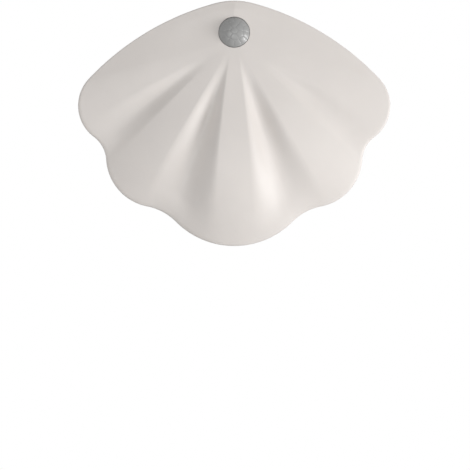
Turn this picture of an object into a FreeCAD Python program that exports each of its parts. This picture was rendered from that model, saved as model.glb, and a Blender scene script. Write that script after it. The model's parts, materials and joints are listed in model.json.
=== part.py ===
import FreeCAD
import Part
import math
import os

import Sketcher
from FreeCAD import Placement, Rotation, Vector

# A shell-shaped wall night light with a motion sensor, in millimetres and degrees.
# Lamp frame: origin at the fan centre in the plane of the shell's rim, x right, y up, z to the room.
DRIVING = {
    # Shell outline: lobes, the notches that blend them, and the brow above
    "shell_drop": 98.9,
    "shell_rise": 19.0,
    "tip_lobe_radius": 39.5,
    "lower_lobe_x": 37.2,
    "lower_lobe_drop": 55.9,
    "lower_lobe_radius": 24.4,
    "side_lobe_x": 56.3,
    "side_lobe_drop": 31.4,
    "side_lobe_radius": 18.75,
    "lower_notch_radius": 26.9,
    "side_notch_radius": 14.9,
    "brow_radius": 130.2,
    "apex_lobe_radius": 35.0,
    # Shell crown and grooves
    "shell_wall": 3.0,
    "crown_slope": 9.9,
    "apex_lift": 0.6,
    "low_plateau": 0.386,
    "high_plateau": 0.75,
    "plateau_near_angle": 60.0,
    "plateau_far_angle": 120.0,
    "tent_share": 0.8,
    "tent_near_angle": 5.0,
    "tent_far_angle": 65.0,
    "ridge_soft": 11.3,
    "side_droop": 0.007,
    "droop_soft": 10.0,
    "crease_half": 0.7,
    "crease_angle": 9.9,
    "crease_sharp": 0.24,
    "crease_soft": 0.31,
    "flank_power": 1.7,
    "inner_groove_angle": 18.4,
    "inner_groove_far": 12.1,
    "inner_groove_depth": 0.44,
    "inner_groove_start": 8.0,
    "inner_groove_fade": 37.5,
    "outer_groove_angle": 53.5,
    "outer_groove_near": 8.4,
    "outer_groove_far": 8.2,
    "outer_groove_depth": 0.34,
    "outer_groove_start": 15.5,
    "outer_groove_fade": 36.3,
    "groove_end": 0.86,
    "groove_end_width": 0.19,
    # Housing
    "housing_half_width": 57.6,
    "apex_rise": 19.7,
    "face_angle": 35.0,
    "end_half_width": 24.0,
    "end_drop": 76.0,
    "apex_corner_radius": 22.0,
    "end_corner_radius": 3.5,
    "side_corner_radius": 2.0,
    "back_edge_radius": 1.5,
    "housing_wall": 2.2,
    "wall_tilt": 7.8,
    "wall_depth": 23.8,
    "relief_drop": 5.7,
    "relief_angle": 20.4,
    "seat_gap": 0.1,
    # Buttons, their strip and their switches
    "button_drop": 6.1,
    "button_length": 9.5,
    "button_width": 7.0,
    "button_first": 25.2,
    "button_pitch": 18.6,
    "button_proud": 0.9,
    "button_edge_radius": 0.5,
    "button_gap": 0.2,
    "button_lip": 1.0,
    "button_lip_thickness": 1.0,
    "button_travel": 0.6,
    "stem_radius": 1.4,
    "stem_length": 1.4,
    "strip_margin": 4.5,
    "strip_gap": 0.2,
    "strip_ear": 2.0,
    "strip_ear_thickness": 1.2,
    "switch_side": 6.0,
    "switch_depth": 3.6,
    "plunger_radius": 1.7,
    "plunger_reach": 1.0,
    "plunger_gap": 0.08,
    # Main board and what it carries
    "board_thickness": 1.6,
    "board_edge_gap": 1.0,
    "board_side_gap": 13.6,
    "board_tip_cut": 4.0,
    "post_x": 22.0,
    "post_inset": 4.0,
    "middle_post_drop": 9.5,
    "post_radius": 2.6,
    "board_screw_radius": 0.9,
    "board_screw_length": 7.0,
    "board_screw_head_radius": 1.8,
    "board_screw_head": 1.2,
    "thread_gap": 0.05,
    "chip_length": 8.0,
    "chip_width": 5.0,
    "chip_height": 1.6,
    "chip_x": 14.0,
    "chip_drop": 12.5,
    "usb_along": 33.8,
    "usb_depth": 7.3,
    "usb_width": 8.9,
    "usb_height": 3.2,
    "usb_wall": 0.35,
    "usb_recess": 0.5,
    "usb_gap": 0.3,
    "usb_tongue_width": 6.6,
    "usb_tongue_thickness": 0.7,
    "usb_tongue_depth": 5.8,
    "usb_back": 1.5,
    # Motion sensor
    "pir_rise": 3.4,
    "pir_dome_radius": 7.35,
    "pir_dome_height": 3.3,
    "pir_lens_wall": 0.9,
    "pir_lip": 1.3,
    "pir_lip_thickness": 1.0,
    "pir_sag": 0.7,
    "pir_gap": 0.2,
    "can_radius": 4.1,
    "can_height": 4.2,
    "can_brim": 0.5,
    "can_brim_thickness": 0.5,
    "light_sensor_length": 1.6,
    "light_sensor_width": 1.0,
    "light_sensor_height": 0.7,
    # Light outlet at the lower end
    "lens_axis_drop": 9.8,
    "ring_radius": 14.7,
    "ring_proud": 5.3,
    "ring_front_rise": 0.4,
    "ring_gap": 0.15,
    "spigot_radius": 12.5,
    "spigot_wall": 3.0,
    "spigot_reach": 4.0,
    "nut_width": 3.0,
    "nut_thickness": 2.5,
    "lens_radius": 11.3,
    "lens_rise": 4.9,
    "lens_wall": 1.5,
    "lens_lip_thickness": 1.2,
    "led_board_thickness": 1.6,
    "led_side": 5.0,
    "led_height": 0.8,
    "reflector_wall": 0.8,
    "led_screw_radius": 0.8,
    "led_screw_length": 5.0,
    "led_screw_head_radius": 1.5,
    "led_screw_head": 1.0,
    # Battery
    "battery_length": 50.0,
    "battery_height": 31.0,
    "battery_thickness": 8.0,
    "battery_corner": 2.0,
    "battery_tape": 0.5,
    "lead_radius": 0.6,
    "lead_pitch": 3.0,
    "lead_landing": 4.0,
    "battery_lead_x": 9.0,
    "battery_lead_run": 9.0,
    "lamp_lead_x": 3.0,
    "lamp_lead_run": 6.0,
    "lamp_lead_reach": 7.0,
    "lamp_lead_climb": 5.0,
    # Wall plate and magnets
    "mount_drop": 41.0,
    "plate_width": 44.0,
    "plate_height": 32.0,
    "plate_thickness": 1.0,
    "plate_corner": 5.0,
    "tape_margin": 1.0,
    "tape_thickness": 0.9,
    "recess_depth": 1.6,
    "plate_gap": 0.3,
    "magnet_radius": 5.0,
    "magnet_thickness": 2.5,
    "magnet_skin": 0.8,
    "magnet_spread_x": 14.0,
    "magnet_spread_y": 9.0,
    # Screws that draw the shell onto the housing
    "high_tower_inset": 11.6,
    "high_tower_below": 6.0,
    "low_tower_inset": 4.0,
    "low_tower_rise": 10.0,
    "tower_radius": 4.8,
    "tower_drop": 8.0,
    "tower_ledge": 2.5,
    "shell_boss_radius": 3.6,
    "screw_radius": 1.5,
    "screw_length": 12.0,
    "screw_head_radius": 2.8,
    "screw_head": 1.8,
    "screw_head_gap": 0.4,
    "screw_hole_gap": 0.2,
}

# Dimensions that follow from the others
DERIVED = {
    "corner_drop": "=housing_half_width * tan(face_angle) - apex_rise",
    "board_half_width": "=housing_half_width - board_side_gap",
    "high_tower_x": "=housing_half_width - high_tower_inset",
    "high_tower_drop": "=corner_drop + high_tower_below",
    "low_tower_x": "=end_half_width - low_tower_inset",
    "low_tower_drop": "=end_drop - low_tower_rise",
    "post_drop": "=corner_drop - post_inset",
}

RAY_STEP = 3.0
PAST_RIM = 0.5
RING_STEP = 4.0
MARGIN = 20.0
X_AXIS = Vector(1, 0, 0)
Z_AXIS = Vector(0, 0, 1)

doc = FreeCAD.newDocument("night_light")
sheet = doc.addObject("Spreadsheet::Sheet", "dims")
nodes = []


def fill_sheet():
    """Write every dimension into the sheet with its alias, the driving ones as plain text."""
    for row, (name, value) in enumerate({**DRIVING, **DERIVED}.items(), start=1):
        sheet.set(f"A{row}", name)
        sheet.set(f"B{row}", str(value))
        sheet.setAlias(f"B{row}", name)
    doc.recompute()


def size(name):
    """A dimension, read from the sheet."""
    found = sheet.get(name)
    return float(getattr(found, "Value", found))


def value_of(expression):
    """The number that an expression on the sheet's cells gives now."""
    found = sheet.evalExpression(expression)
    return float(getattr(found, "Value", found))


def node(thing, label):
    """Name a finished piece and keep it for export."""
    thing.Label = label
    nodes.append(thing)
    return thing


# Helpers for document objects


def origin_plane(body, role):
    """One of a body's own origin planes."""
    return next(item for item in body.Origin.OriginFeatures if item.Role == role)


def new_sketch(body, role, name, lift=0.0):
    """A sketch on one of the body's origin planes, lifted along its normal."""
    sketch = body.newObject("Sketcher::SketchObject", name)
    sketch.AttachmentSupport = [(origin_plane(body, role), "")]
    sketch.MapMode = "FlatFace"
    sketch.AttachmentOffset = Placement(Vector(0, 0, lift), Rotation())
    return sketch


def bind_point(sketch, geometry, end, across, up):
    """Hold a point of a sketch at two expressions on the sheet."""
    for kind, expression in (("DistanceX", across), ("DistanceY", up)):
        constraint = Sketcher.Constraint(kind, -1, 1, geometry, end, value_of(expression))
        index = sketch.addConstraint(constraint)
        sketch.setExpression(f"Constraints[{index}]", expression)


def arc_between(start, end, radius):
    """A circular arc counterclockwise from start to end, less than half a turn."""
    chord = end - start
    side = Vector(chord.y, -chord.x, 0).normalize()
    depth = math.sqrt(radius**2 - (chord.Length / 2) ** 2)
    centre = (start + end) / 2 - side * depth
    first = math.atan2(start.y - centre.y, start.x - centre.x)
    last = math.atan2(end.y - centre.y, end.x - centre.x)
    return Part.ArcOfCircle(Part.Circle(centre, Z_AXIS, radius), first, last)


def draw_profile(sketch, corners, domes=None, hollows=None):
    """Draw a closed profile counterclockwise through corners given as expressions.

    domes and hollows map the number of a corner to the radius of the arc that starts there: an arc
    of a dome bulges out of the profile, and one of a hollow bulges into it.
    """
    domes, hollows = domes or {}, hollows or {}
    places = [Vector(value_of(across), value_of(up), 0) for across, up in corners]
    count = len(corners)
    for index, start in enumerate(places):
        end = places[(index + 1) % count]
        if index in domes:
            sketch.addGeometry(arc_between(start, end, value_of(domes[index])))
        elif index in hollows:
            sketch.addGeometry(arc_between(end, start, value_of(hollows[index])))
        else:
            sketch.addGeometry(Part.LineSegment(start, end))
    for index, (across, up) in enumerate(corners):
        before = (index - 1) % count
        head = 2 if index in hollows else 1
        tail = 1 if before in hollows else 2
        sketch.addConstraint(Sketcher.Constraint("Coincident", before, tail, index, head))
        bind_point(sketch, index, head, across, up)
    for index, radius in {**domes, **hollows}.items():
        place = sketch.addConstraint(Sketcher.Constraint("Radius", index, value_of(radius)))
        sketch.setExpression(f"Constraints[{place}]", radius)


def padded(name, corners, length, lift=0.0, place=None):
    """A body padded up from a flat profile on its XY plane."""
    body = doc.addObject("PartDesign::Body", name)
    sketch = new_sketch(body, "XY_Plane", name + "_profile", lift)
    draw_profile(sketch, corners)
    pad = body.newObject("PartDesign::Pad", name + "_pad")
    pad.Profile = sketch
    pad.setExpression("Length", length)
    body.Placement = place or Placement()
    doc.recompute()
    return body


def revolved(name, corners, domes=None, hollows=None, place=None):
    """A body turned about its Z axis from a profile of radius and height."""
    body = doc.addObject("PartDesign::Body", name)
    sketch = new_sketch(body, "XZ_Plane", name + "_profile")
    draw_profile(sketch, corners, domes, hollows)
    turn = body.newObject("PartDesign::Revolution", name + "_turn")
    turn.Profile = sketch
    turn.ReferenceAxis = (sketch, ["V_Axis"])
    turn.Angle = 360
    body.Placement = place or Placement()
    doc.recompute()
    return body


def rounded_plate(name, across, up, thickness, corner, place=None):
    """A flat plate, centred on its frame, with rounded corners."""
    half_x, half_y = f"({across}) / 2", f"({up}) / 2"
    corners = [(f"-{half_x}", f"-{half_y}"), (half_x, f"-{half_y}"), (half_x, half_y), (f"-{half_x}", half_y)]
    body = padded(name, corners, thickness, place=place)
    return round_edges(body, corner, lambda edge: is_upright(edge))


def round_edges(body, radius, wanted):
    """Fillet the edges of a body's tip that a test picks out."""
    base = body.Tip
    names = [f"Edge{number}" for number, edge in enumerate(base.Shape.Edges, start=1) if wanted(edge)]
    fillet = body.newObject("PartDesign::Fillet", body.Name + "_fillet")
    fillet.Base = (base, names)
    fillet.setExpression("Radius", radius)
    doc.recompute()
    return body


def is_upright(edge, near=None):
    """Whether an edge runs along z, and stands near a point if one is given."""
    ends = [vertex.Point for vertex in edge.Vertexes]
    if len(ends) != 2:
        return False
    flat = math.hypot(ends[0].x - ends[1].x, ends[0].y - ends[1].y)
    if flat > 1e-6:
        return False
    return near is None or math.hypot(ends[0].x - near[0], ends[0].y - near[1]) < 1e-3


def cylinder(name, radius, height, place):
    """A cylinder along its own Z axis."""
    thing = doc.addObject("Part::Cylinder", name)
    thing.setExpression("Radius", radius)
    thing.setExpression("Height", height)
    thing.Placement = place
    return thing


def box(name, across, up, height, place):
    """A box centred on its frame in x and y, and standing on it."""
    thing = doc.addObject("Part::Box", name)
    thing.setExpression("Length", across)
    thing.setExpression("Width", up)
    thing.setExpression("Height", height)
    corner = Vector(-value_of(across) / 2, -value_of(up) / 2, 0)
    thing.Placement = place.multiply(Placement(corner, Rotation()))
    return thing


def stadium(name, length, width, height, place):
    """A block with round ends: a box and two cylinders in one."""
    half = (value_of(length) - value_of(width)) / 2
    radius = f"({width}) / 2"
    middle = box(name + "_middle", f"({length}) - ({width})", width, height, place)
    ends = [
        cylinder(f"{name}_end_{word}", radius, height, place.multiply(Placement(Vector(x, 0, 0), Rotation())))
        for word, x in (("low", -half), ("high", half))
    ]
    return fuse(name, [middle] + ends)


def cut(name, base, tool):
    """One object with another taken away."""
    thing = doc.addObject("Part::Cut", name)
    thing.Base = base
    thing.Tool = tool
    return thing


def fuse(name, things):
    """Several objects joined into one solid."""
    thing = doc.addObject("Part::MultiFuse", name)
    thing.Shapes = things
    thing.Refine = True
    return thing


def group(name, things):
    """Several separate solids in one object."""
    thing = doc.addObject("Part::Compound", name)
    thing.Links = things
    return thing


def solid(name, shape):
    """A free-form solid."""
    thing = doc.addObject("Part::Feature", name)
    thing.Shape = shape
    return thing


# Frames of the lamp


def at(x, y, z, rotation=None):
    """A place in the lamp frame."""
    return Placement(Vector(x, y, z), rotation or Rotation())


def wall_height(y):
    """Height of the wall's surface in the lamp frame."""
    return -size("wall_depth") + y * math.tan(math.radians(size("wall_tilt")))


def wall_frame():
    """Frame on the wall at the plate's centre: x right, y up the wall, z to the room."""
    y = -size("mount_drop")
    return at(0, y, wall_height(y), Rotation(X_AXIS, size("wall_tilt")))


def on_wall(x, y, z):
    """A place measured from the wall at the plate's centre."""
    return wall_frame().multiply(at(x, y, z))


def back_gap():
    """Gap between the wall and the housing's back."""
    return size("plate_thickness") + size("tape_thickness") - size("recess_depth")


def back_height(y):
    """Height of the housing's flat back in the lamp frame."""
    return wall_height(y) + back_gap() / math.cos(math.radians(size("wall_tilt")))


def floor_height(y):
    """Height of the inside of the housing's flat back."""
    return back_height(y) + size("housing_wall") / math.cos(math.radians(size("wall_tilt")))


def face_frame(side, along, depth, z):
    """Frame on an upper face of the housing: z outward, y to the room.

    side is 1 for the right face and -1 for the left, along is measured from where the two faces
    would meet at the apex, and depth inward from the face.
    """
    angle = math.radians(size("face_angle"))
    outward = Vector(side * math.sin(angle), math.cos(angle), 0)
    across = Z_AXIS.cross(outward)
    start = Vector(0, size("apex_rise"), z)
    run = Vector(side * math.cos(angle), -math.sin(angle), 0)
    turn = Rotation(across, Z_AXIS, outward, "ZXY")
    return Placement(start + run * along - outward * depth, turn)


def face_line(depth):
    """Distance from the fan centre to a line at some depth inside an upper face."""
    return size("apex_rise") * math.cos(math.radians(size("face_angle"))) - depth


def lens_frame(depth):
    """Frame on the housing's lower end, with z out along the light's axis."""
    return at(0, -size("end_drop") + depth, -size("lens_axis_drop"), Rotation(X_AXIS, 90))


def ceiling():
    """A height above every point of the shell."""
    slope = math.tan(math.radians(size("crown_slope")))
    return size("shell_wall") + size("apex_lift") + slope * (size("shell_rise") + size("shell_drop")) + MARGIN


def basement():
    """A height behind every point of the housing."""
    return back_height(-size("end_drop")) - MARGIN


# Shell form


def meet(first, first_radius, second, second_radius):
    """The right-hand point where two circles meet, going from the first to the second."""
    span = second - first
    along = (span.Length**2 + first_radius**2 - second_radius**2) / (2 * span.Length)
    off = math.sqrt(first_radius**2 - along**2)
    ahead = Vector(span).normalize()
    return first + ahead * along + Vector(ahead.y, -ahead.x, 0) * off


def towards(start, goal, distance):
    """The point at a distance from start on the way to goal."""
    return start + Vector(goal - start).normalize() * distance


def half_outline():
    """Arcs of the shell's right half from the tip to the apex, as (start, middle, end)."""
    tip_r, low_r, side_r = size("tip_lobe_radius"), size("lower_lobe_radius"), size("side_lobe_radius")
    apex_r, brow_r = size("apex_lobe_radius"), size("brow_radius")
    low_notch_r, side_notch_r = size("lower_notch_radius"), size("side_notch_radius")
    tip = Vector(0, -size("shell_drop") + tip_r, 0)
    low = Vector(size("lower_lobe_x"), -size("lower_lobe_drop"), 0)
    side = Vector(size("side_lobe_x"), -size("side_lobe_drop"), 0)
    apex = Vector(0, size("shell_rise") - apex_r, 0)
    low_notch = meet(tip, tip_r + low_notch_r, low, low_r + low_notch_r)
    side_notch = meet(low, low_r + side_notch_r, side, side_r + side_notch_r)
    brow = meet(apex, brow_r - apex_r, side, brow_r - side_r)
    joints = [
        Vector(0, -size("shell_drop"), 0),
        towards(tip, low_notch, tip_r),
        towards(low, low_notch, low_r),
        towards(low, side_notch, low_r),
        towards(side, side_notch, side_r),
        towards(brow, side, brow_r),
        towards(brow, apex, brow_r),
        Vector(0, size("shell_rise"), 0),
    ]
    lobes = [
        (tip, tip_r),
        (low_notch, low_notch_r),
        (low, low_r),
        (side_notch, side_notch_r),
        (side, side_r),
        (brow, brow_r),
        (apex, apex_r),
    ]
    arcs = []
    for index, (centre, radius) in enumerate(lobes):
        start, end = joints[index], joints[index + 1]
        arcs.append((start, towards(centre, (start + end) / 2, radius), end))
    return arcs


def outline_face():
    """The shell's outline as a flat face in the rim plane."""
    right = half_outline()
    flip = [tuple(Vector(-point.x, point.y, 0) for point in reversed(arc)) for arc in reversed(right)]
    edges = [Part.Arc(*arc).toShape() for arc in right + flip]
    return Part.Face(Part.Wire(edges))


def rim_reach_table():
    """Directions from straight down and the outline's distance from the fan centre along them."""
    table = []
    for arc in half_outline():
        curve = Part.Arc(*arc).toShape()
        for point in curve.discretize(Number=40):
            table.append((math.atan2(point.x, -point.y), math.hypot(point.x, point.y)))
    return sorted(table)


def between(table, angle):
    """Linear reading of a sorted table."""
    for (low, first), (high, last) in zip(table, table[1:]):
        if low <= angle <= high:
            share = (angle - low) / (high - low) if high > low else 0.0
            return first + (last - first) * share
    return table[-1][1]


def ease(share):
    """A smooth step from 0 to 1."""
    share = min(max(share, 0.0), 1.0)
    return share * share * (3 - 2 * share)


def inner_dip(angle, reach, share):
    """Depth of the inner grooves at an angle in degrees: a flank up to a crease, and a round side."""
    off = angle - size("inner_groove_angle")
    if off > 0:
        return 1 - ease(off / size("inner_groove_far"))
    crease = size("crease_angle") + math.degrees(size("crease_half") / max(reach, size("inner_groove_start")))
    climb = -off / (size("inner_groove_angle") - crease)
    soft = size("crease_sharp") + size("crease_soft") * ease(share)
    climb = min(climb, 1) - max(soft - abs(climb - 1), 0) ** 2 / (4 * soft)
    return 1 - max(climb, 0) ** size("flank_power")


def outer_dip(angle):
    """Depth of the outer grooves at an angle in degrees, from 0 on a lobe to 1 in a groove."""
    off = angle - size("outer_groove_angle")
    width = size("outer_groove_near") if off < 0 else size("outer_groove_far")
    return 1 - ease(abs(off) / width)


def groove_cut(angle, reach, share):
    """Share of the crown's height that the grooves take away."""
    cut_share = 0
    for word, dip in (("inner", inner_dip(angle, reach, share)), ("outer", outer_dip(angle))):
        start = ease((reach - size(f"{word}_groove_start")) / size(f"{word}_groove_fade"))
        cut_share += size(f"{word}_groove_depth") * dip * start
    return cut_share * (1 - ease((share - size("groove_end")) / size("groove_end_width")))


def turn_share(angle, name):
    """How far an angle from straight down lies between a form's near and far angle, from 0 to 1."""
    near, far = size(f"{name}_near_angle"), size(f"{name}_far_angle")
    return ease((angle - near) / (far - near))


def crown_height(x, y, table):
    """Height of the shell's front face over the rim plane."""
    reach = math.hypot(x, y)
    angle = abs(math.degrees(math.atan2(x, -y)))
    share = reach / between(table, math.radians(angle))
    turned = turn_share(angle, "plateau")
    plateau = size("low_plateau") + (size("high_plateau") - size("low_plateau")) * turned
    fall = math.sin(math.pi / 2 * min(max((1 - share) / (1 - plateau), -PAST_RIM), 1))
    tent = size("tent_share") * turn_share(angle, "tent") * abs(x) / math.hypot(x, size("ridge_soft"))
    fall += (max(1 - share, -PAST_RIM) - fall) * tent
    slope = math.tan(math.radians(size("crown_slope")))
    rise = size("apex_lift") + slope * (size("shell_rise") - y)
    droop = size("side_droop") * (math.hypot(x, size("droop_soft")) - size("droop_soft"))
    return size("shell_wall") - droop + rise * fall * (1 - groove_cut(angle, reach, share))


def crown_face():
    """The right half of the shell's front face on rays from the fan centre, carried past the outline.

    It starts at a small circle inside the hole for the sensor's lens.
    """
    table = rim_reach_table()
    inner = size("pir_dome_radius") - size("pir_rise") - size("pir_gap")
    rays = round(180 / RAY_STEP) + 1
    rings = math.ceil((size("shell_drop") - inner) / RING_STEP) + 2
    grid = []
    for ray in range(rays):
        angle = math.radians(ray * RAY_STEP)
        reach = between(table, angle)
        line = []
        for ring in range(rings):
            far = inner + (reach - inner) * ring / (rings - 2)
            x, y = far * math.sin(angle), -far * math.cos(angle)
            line.append(Vector(x if 0 < ray < rays - 1 else 0, y, crown_height(x, y, table)))
        grid.append(line)
    surface = Part.BSplineSurface()
    surface.interpolate(grid)
    return surface.toShape()


def both_halves(half):
    """A solid joined with its mirror image on the lamp's left."""
    return half.fuse(half.mirror(Vector(), X_AXIS))


def over_front(face, lift):
    """The space in front of the shell's front face, moved by a lift."""
    return both_halves(lowered(face, -lift).extrude(Vector(0, 0, 2 * ceiling())))


def behind_front(face, lift, depth):
    """The space behind the shell's front face, moved by a lift, down to a depth."""
    return both_halves(lowered(face, -lift).extrude(Vector(0, 0, -depth)))


def lowered(face, drop):
    """A copy of a face, moved down."""
    copy = face.copy()
    copy.translate(Vector(0, 0, -drop))
    return copy


def tower_places():
    """Where the screws between the housing and the shell stand."""
    high = (size("high_tower_x"), -size("high_tower_drop"))
    low = (size("low_tower_x"), -size("low_tower_drop"))
    return [(side * x, y) for x, y in (high, low) for side in (-1, 1)]


def pir_frame():
    """Frame of the motion sensor's lens: origin on the shell's front face, z along the lens's axis."""
    slope = math.radians(size("crown_slope"))
    y = size("pir_rise")
    z = size("shell_wall") + size("apex_lift") + math.tan(slope) * (size("shell_rise") - y)
    return at(0, y, z, Rotation(X_AXIS, -size("crown_slope")))


def shell_cover(face):
    """The scallop-shaped front shell, with its screw bosses and the hole for the sensor's lens."""
    flat = outline_face()
    flat.translate(Vector(0, 0, -MARGIN))
    column = flat.extrude(Vector(0, 0, ceiling() + MARGIN))
    shell = both_halves(face.extrude(Vector(0, 0, -size("shell_wall"))).common(column))
    under = behind_front(face, -size("shell_wall") / 2, ceiling() + MARGIN)
    foot = -size("tower_drop") + size("seat_gap")
    tip = -size("tower_drop") - size("tower_ledge") + size("screw_length")
    hole_radius = size("screw_radius") + size("thread_gap")
    for x, y in tower_places():
        boss = Part.makeCylinder(size("shell_boss_radius"), ceiling() - foot, Vector(x, y, foot))
        shell = shell.fuse(boss.common(under))
    for x, y in tower_places():
        bore = Part.makeCylinder(hole_radius, tip + size("screw_radius") - foot, Vector(x, y, foot))
        shell = shell.cut(bore)
    hole = Part.makeCylinder(size("pir_dome_radius") + size("pir_gap"), 2 * MARGIN, Vector(0, 0, -MARGIN))
    hole.Placement = pir_frame().multiply(hole.Placement)
    node(solid("shell_cover_solid", shell.cut(hole)), "shell_cover")


# Housing


def housing_corners():
    """Corners of the housing seen from the front, counterclockwise from the lower left."""
    half, corner = "dims.housing_half_width", "-dims.corner_drop"
    apex = f"{corner} + {half} * tan(dims.face_angle)"
    end, low = "dims.end_half_width", "-dims.end_drop"
    return [(f"-{end}", low), (end, low), (half, corner), ("0", apex), (f"-{half}", corner)]


def inset_corners(corners, depth):
    """The corners of the same outline, moved inward by a depth."""
    points = [Vector(value_of(x), value_of(y), 0) for x, y in corners]
    moved = []
    for index, point in enumerate(points):
        run_in = Vector(point - points[index - 1]).normalize()
        run_out = Vector(points[(index + 1) % len(points)] - point).normalize()
        first, last = Vector(-run_in.y, run_in.x, 0), Vector(-run_out.y, run_out.x, 0)
        place = point + (first + last) * (depth / (1 + first.dot(last)))
        moved.append((str(place.x), str(place.y)))
    return moved


def back_line(y, inset):
    """Height of the housing's back, or of the floor inside it, at some place up the lamp."""
    tilt = math.radians(size("wall_tilt"))
    lean = tilt + math.radians(size("relief_angle"))
    kink = -size("relief_drop")
    flat = back_height(y) + inset / math.cos(tilt)
    relief = back_height(kink) + (y - kink) * math.tan(lean) + inset / math.cos(lean)
    return max(flat, relief)


def kink_place(inset):
    """Where the flat back, or the floor inside it, turns into the relief."""
    tilt = math.radians(size("wall_tilt"))
    lean = tilt + math.radians(size("relief_angle"))
    shift = inset * (1 / math.cos(tilt) - 1 / math.cos(lean)) / (math.tan(lean) - math.tan(tilt))
    return -size("relief_drop") + shift


def housing_form(name, inset, rounds):
    """The housing's outer form, or the room inside it, with an open-ended front."""
    outer = housing_corners()
    corners = inset_corners(outer, inset) if inset else outer
    body = padded(name, corners, str(ceiling() - basement()), lift=basement())
    for radius, wanted in rounds.items():
        points = [(value_of(corners[index][0]), value_of(corners[index][1])) for index in wanted]
        round_edges(body, radius, lambda edge: any(is_upright(edge, point) for point in points))
    sketch = new_sketch(body, "YZ_Plane", name + "_back")
    far, kink = size("end_drop") + MARGIN, kink_place(inset)
    deep = basement() - MARGIN
    ends = [(-far, deep), (far, deep)]
    line = ends + [(y, back_line(y, inset)) for y in (far, kink, -far)]
    draw_profile(sketch, [(str(y), str(z)) for y, z in line])
    pocket = body.newObject("PartDesign::Pocket", name + "_back_cut")
    pocket.Profile = sketch
    pocket.Midplane = True
    pocket.setExpression("Length", "4 * dims.housing_half_width")
    doc.recompute()
    return body


def is_back_edge(edge):
    """Whether an edge of the housing's outer form runs round its back."""
    middle = edge.valueAt((edge.FirstParameter + edge.LastParameter) / 2)
    ends = [vertex.Point for vertex in edge.Vertexes]
    is_kink = all(abs(point.y - kink_place(0)) < 1e-3 for point in ends)
    return abs(middle.z - back_line(middle.y, 0)) < 0.05 and not is_kink and not is_upright(edge)


def housing_walls():
    """The housing's walls and back, still open and untrimmed at the front."""
    outer = housing_form("housing_outside", 0, {
        "dims.end_corner_radius": [0, 1],
        "dims.side_corner_radius": [2, 4],
        "dims.apex_corner_radius": [3],
    })
    round_edges(outer, "dims.back_edge_radius", is_back_edge)
    inner = housing_form("housing_inside", size("housing_wall"), {
        "max(dims.end_corner_radius - dims.housing_wall; 0.4)": [0, 1],
        "max(dims.apex_corner_radius - dims.housing_wall; 0.4)": [3],
    })
    return cut("housing_shell", outer, inner)


def button_places():
    """Distance of each button along the right face."""
    first = size("button_first")
    return {"power": first + size("button_pitch"), "brightness": first}


def strip_range():
    """Ends of the button strip along the right face."""
    reach = size("button_length") / 2 + size("strip_margin")
    places = button_places().values()
    return min(places) - reach, max(places) + reach


def button_holes(name):
    """The two round-ended holes that the buttons pass through."""
    length = "dims.button_length + 2 * dims.button_gap"
    width = "dims.button_width + 2 * dims.button_gap"
    depth = 2 * size("housing_wall") + size("strip_ear_thickness")
    return [
        stadium(f"{name}_{word}", length, width, "4 * dims.housing_wall",
                face_frame(1, along, depth, -size("button_drop")))
        for word, along in button_places().items()
    ]


def strip_block(name, gap, below):
    """A block over the button strip's place, grown by a gap at both ends."""
    first, last = strip_range()
    length = f"{last - first} + 2 * {gap}"
    height = ceiling() + size("button_drop") + below
    frame = face_frame(1, (first + last) / 2, size("housing_wall"), -size("button_drop") - below + height / 2)
    return box(name, length, str(height), "dims.housing_wall", frame)


def button_strip(over):
    """The strip that closes the notch over the buttons, with ears behind the wall at both ends."""
    first, last = strip_range()
    plate = strip_block("strip_plate", 0, 0)
    pieces = [plate]
    ear = size("strip_ear")
    height = ceiling() + size("button_drop")
    depth = size("housing_wall") + size("strip_gap") + size("strip_ear_thickness")
    for word, along in (("low", first), ("high", last)):
        frame = face_frame(1, along, depth, height / 2 - size("button_drop"))
        pieces.append(box(f"strip_ear_{word}", f"2 * {ear}", str(height),
                          "dims.strip_ear_thickness + dims.strip_gap", frame))
    rough = cut("strip_rough", fuse("strip_joined", pieces), over)
    relief = ear_reliefs(first, last)
    holes = fuse("strip_holes", button_holes("strip_hole") + relief)
    node(cut("strip_cut", rough, holes), "button_strip")


def ear_reliefs(first, last):
    """Gaps between the strip's ears and the wall that they stand behind."""
    height = 2 * ceiling() + size("button_drop")
    ear = size("strip_ear")
    frames = {"low": first - ear, "high": last + ear}
    return [
        box(f"ear_relief_{word}", f"2 * {ear}", str(height), "dims.housing_wall + dims.strip_gap",
            face_frame(1, along, size("housing_wall") + size("strip_gap"), 0))
        for word, along in frames.items()
    ]


def post_places():
    """Where the posts under the main board stand."""
    x, y = size("post_x"), -size("post_drop")
    return [(-x, y), (x, y), (0, -size("middle_post_drop"))]


def board_under():
    """Height of the main board's underside: the switches hang from it."""
    return -size("button_drop") + size("switch_side") / 2


def upright(name, radius, x, y, top):
    """A post that grows out of the housing's flat back to a height."""
    foot = floor_height(y) - size("housing_wall") / 2
    return cylinder(name, radius, str(top - foot), at(x, y, foot))


def pad_height():
    """Height of the magnet pad's top over the wall."""
    seat = size("magnet_skin") + size("magnet_thickness") + size("seat_gap")
    return back_gap() + size("recess_depth") + seat


def magnet_places():
    """Where the magnets lie on the wall's frame."""
    x, y = size("magnet_spread_x"), size("magnet_spread_y")
    return [(-x, -y), (x, -y), (-x, y), (x, y)]


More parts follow.
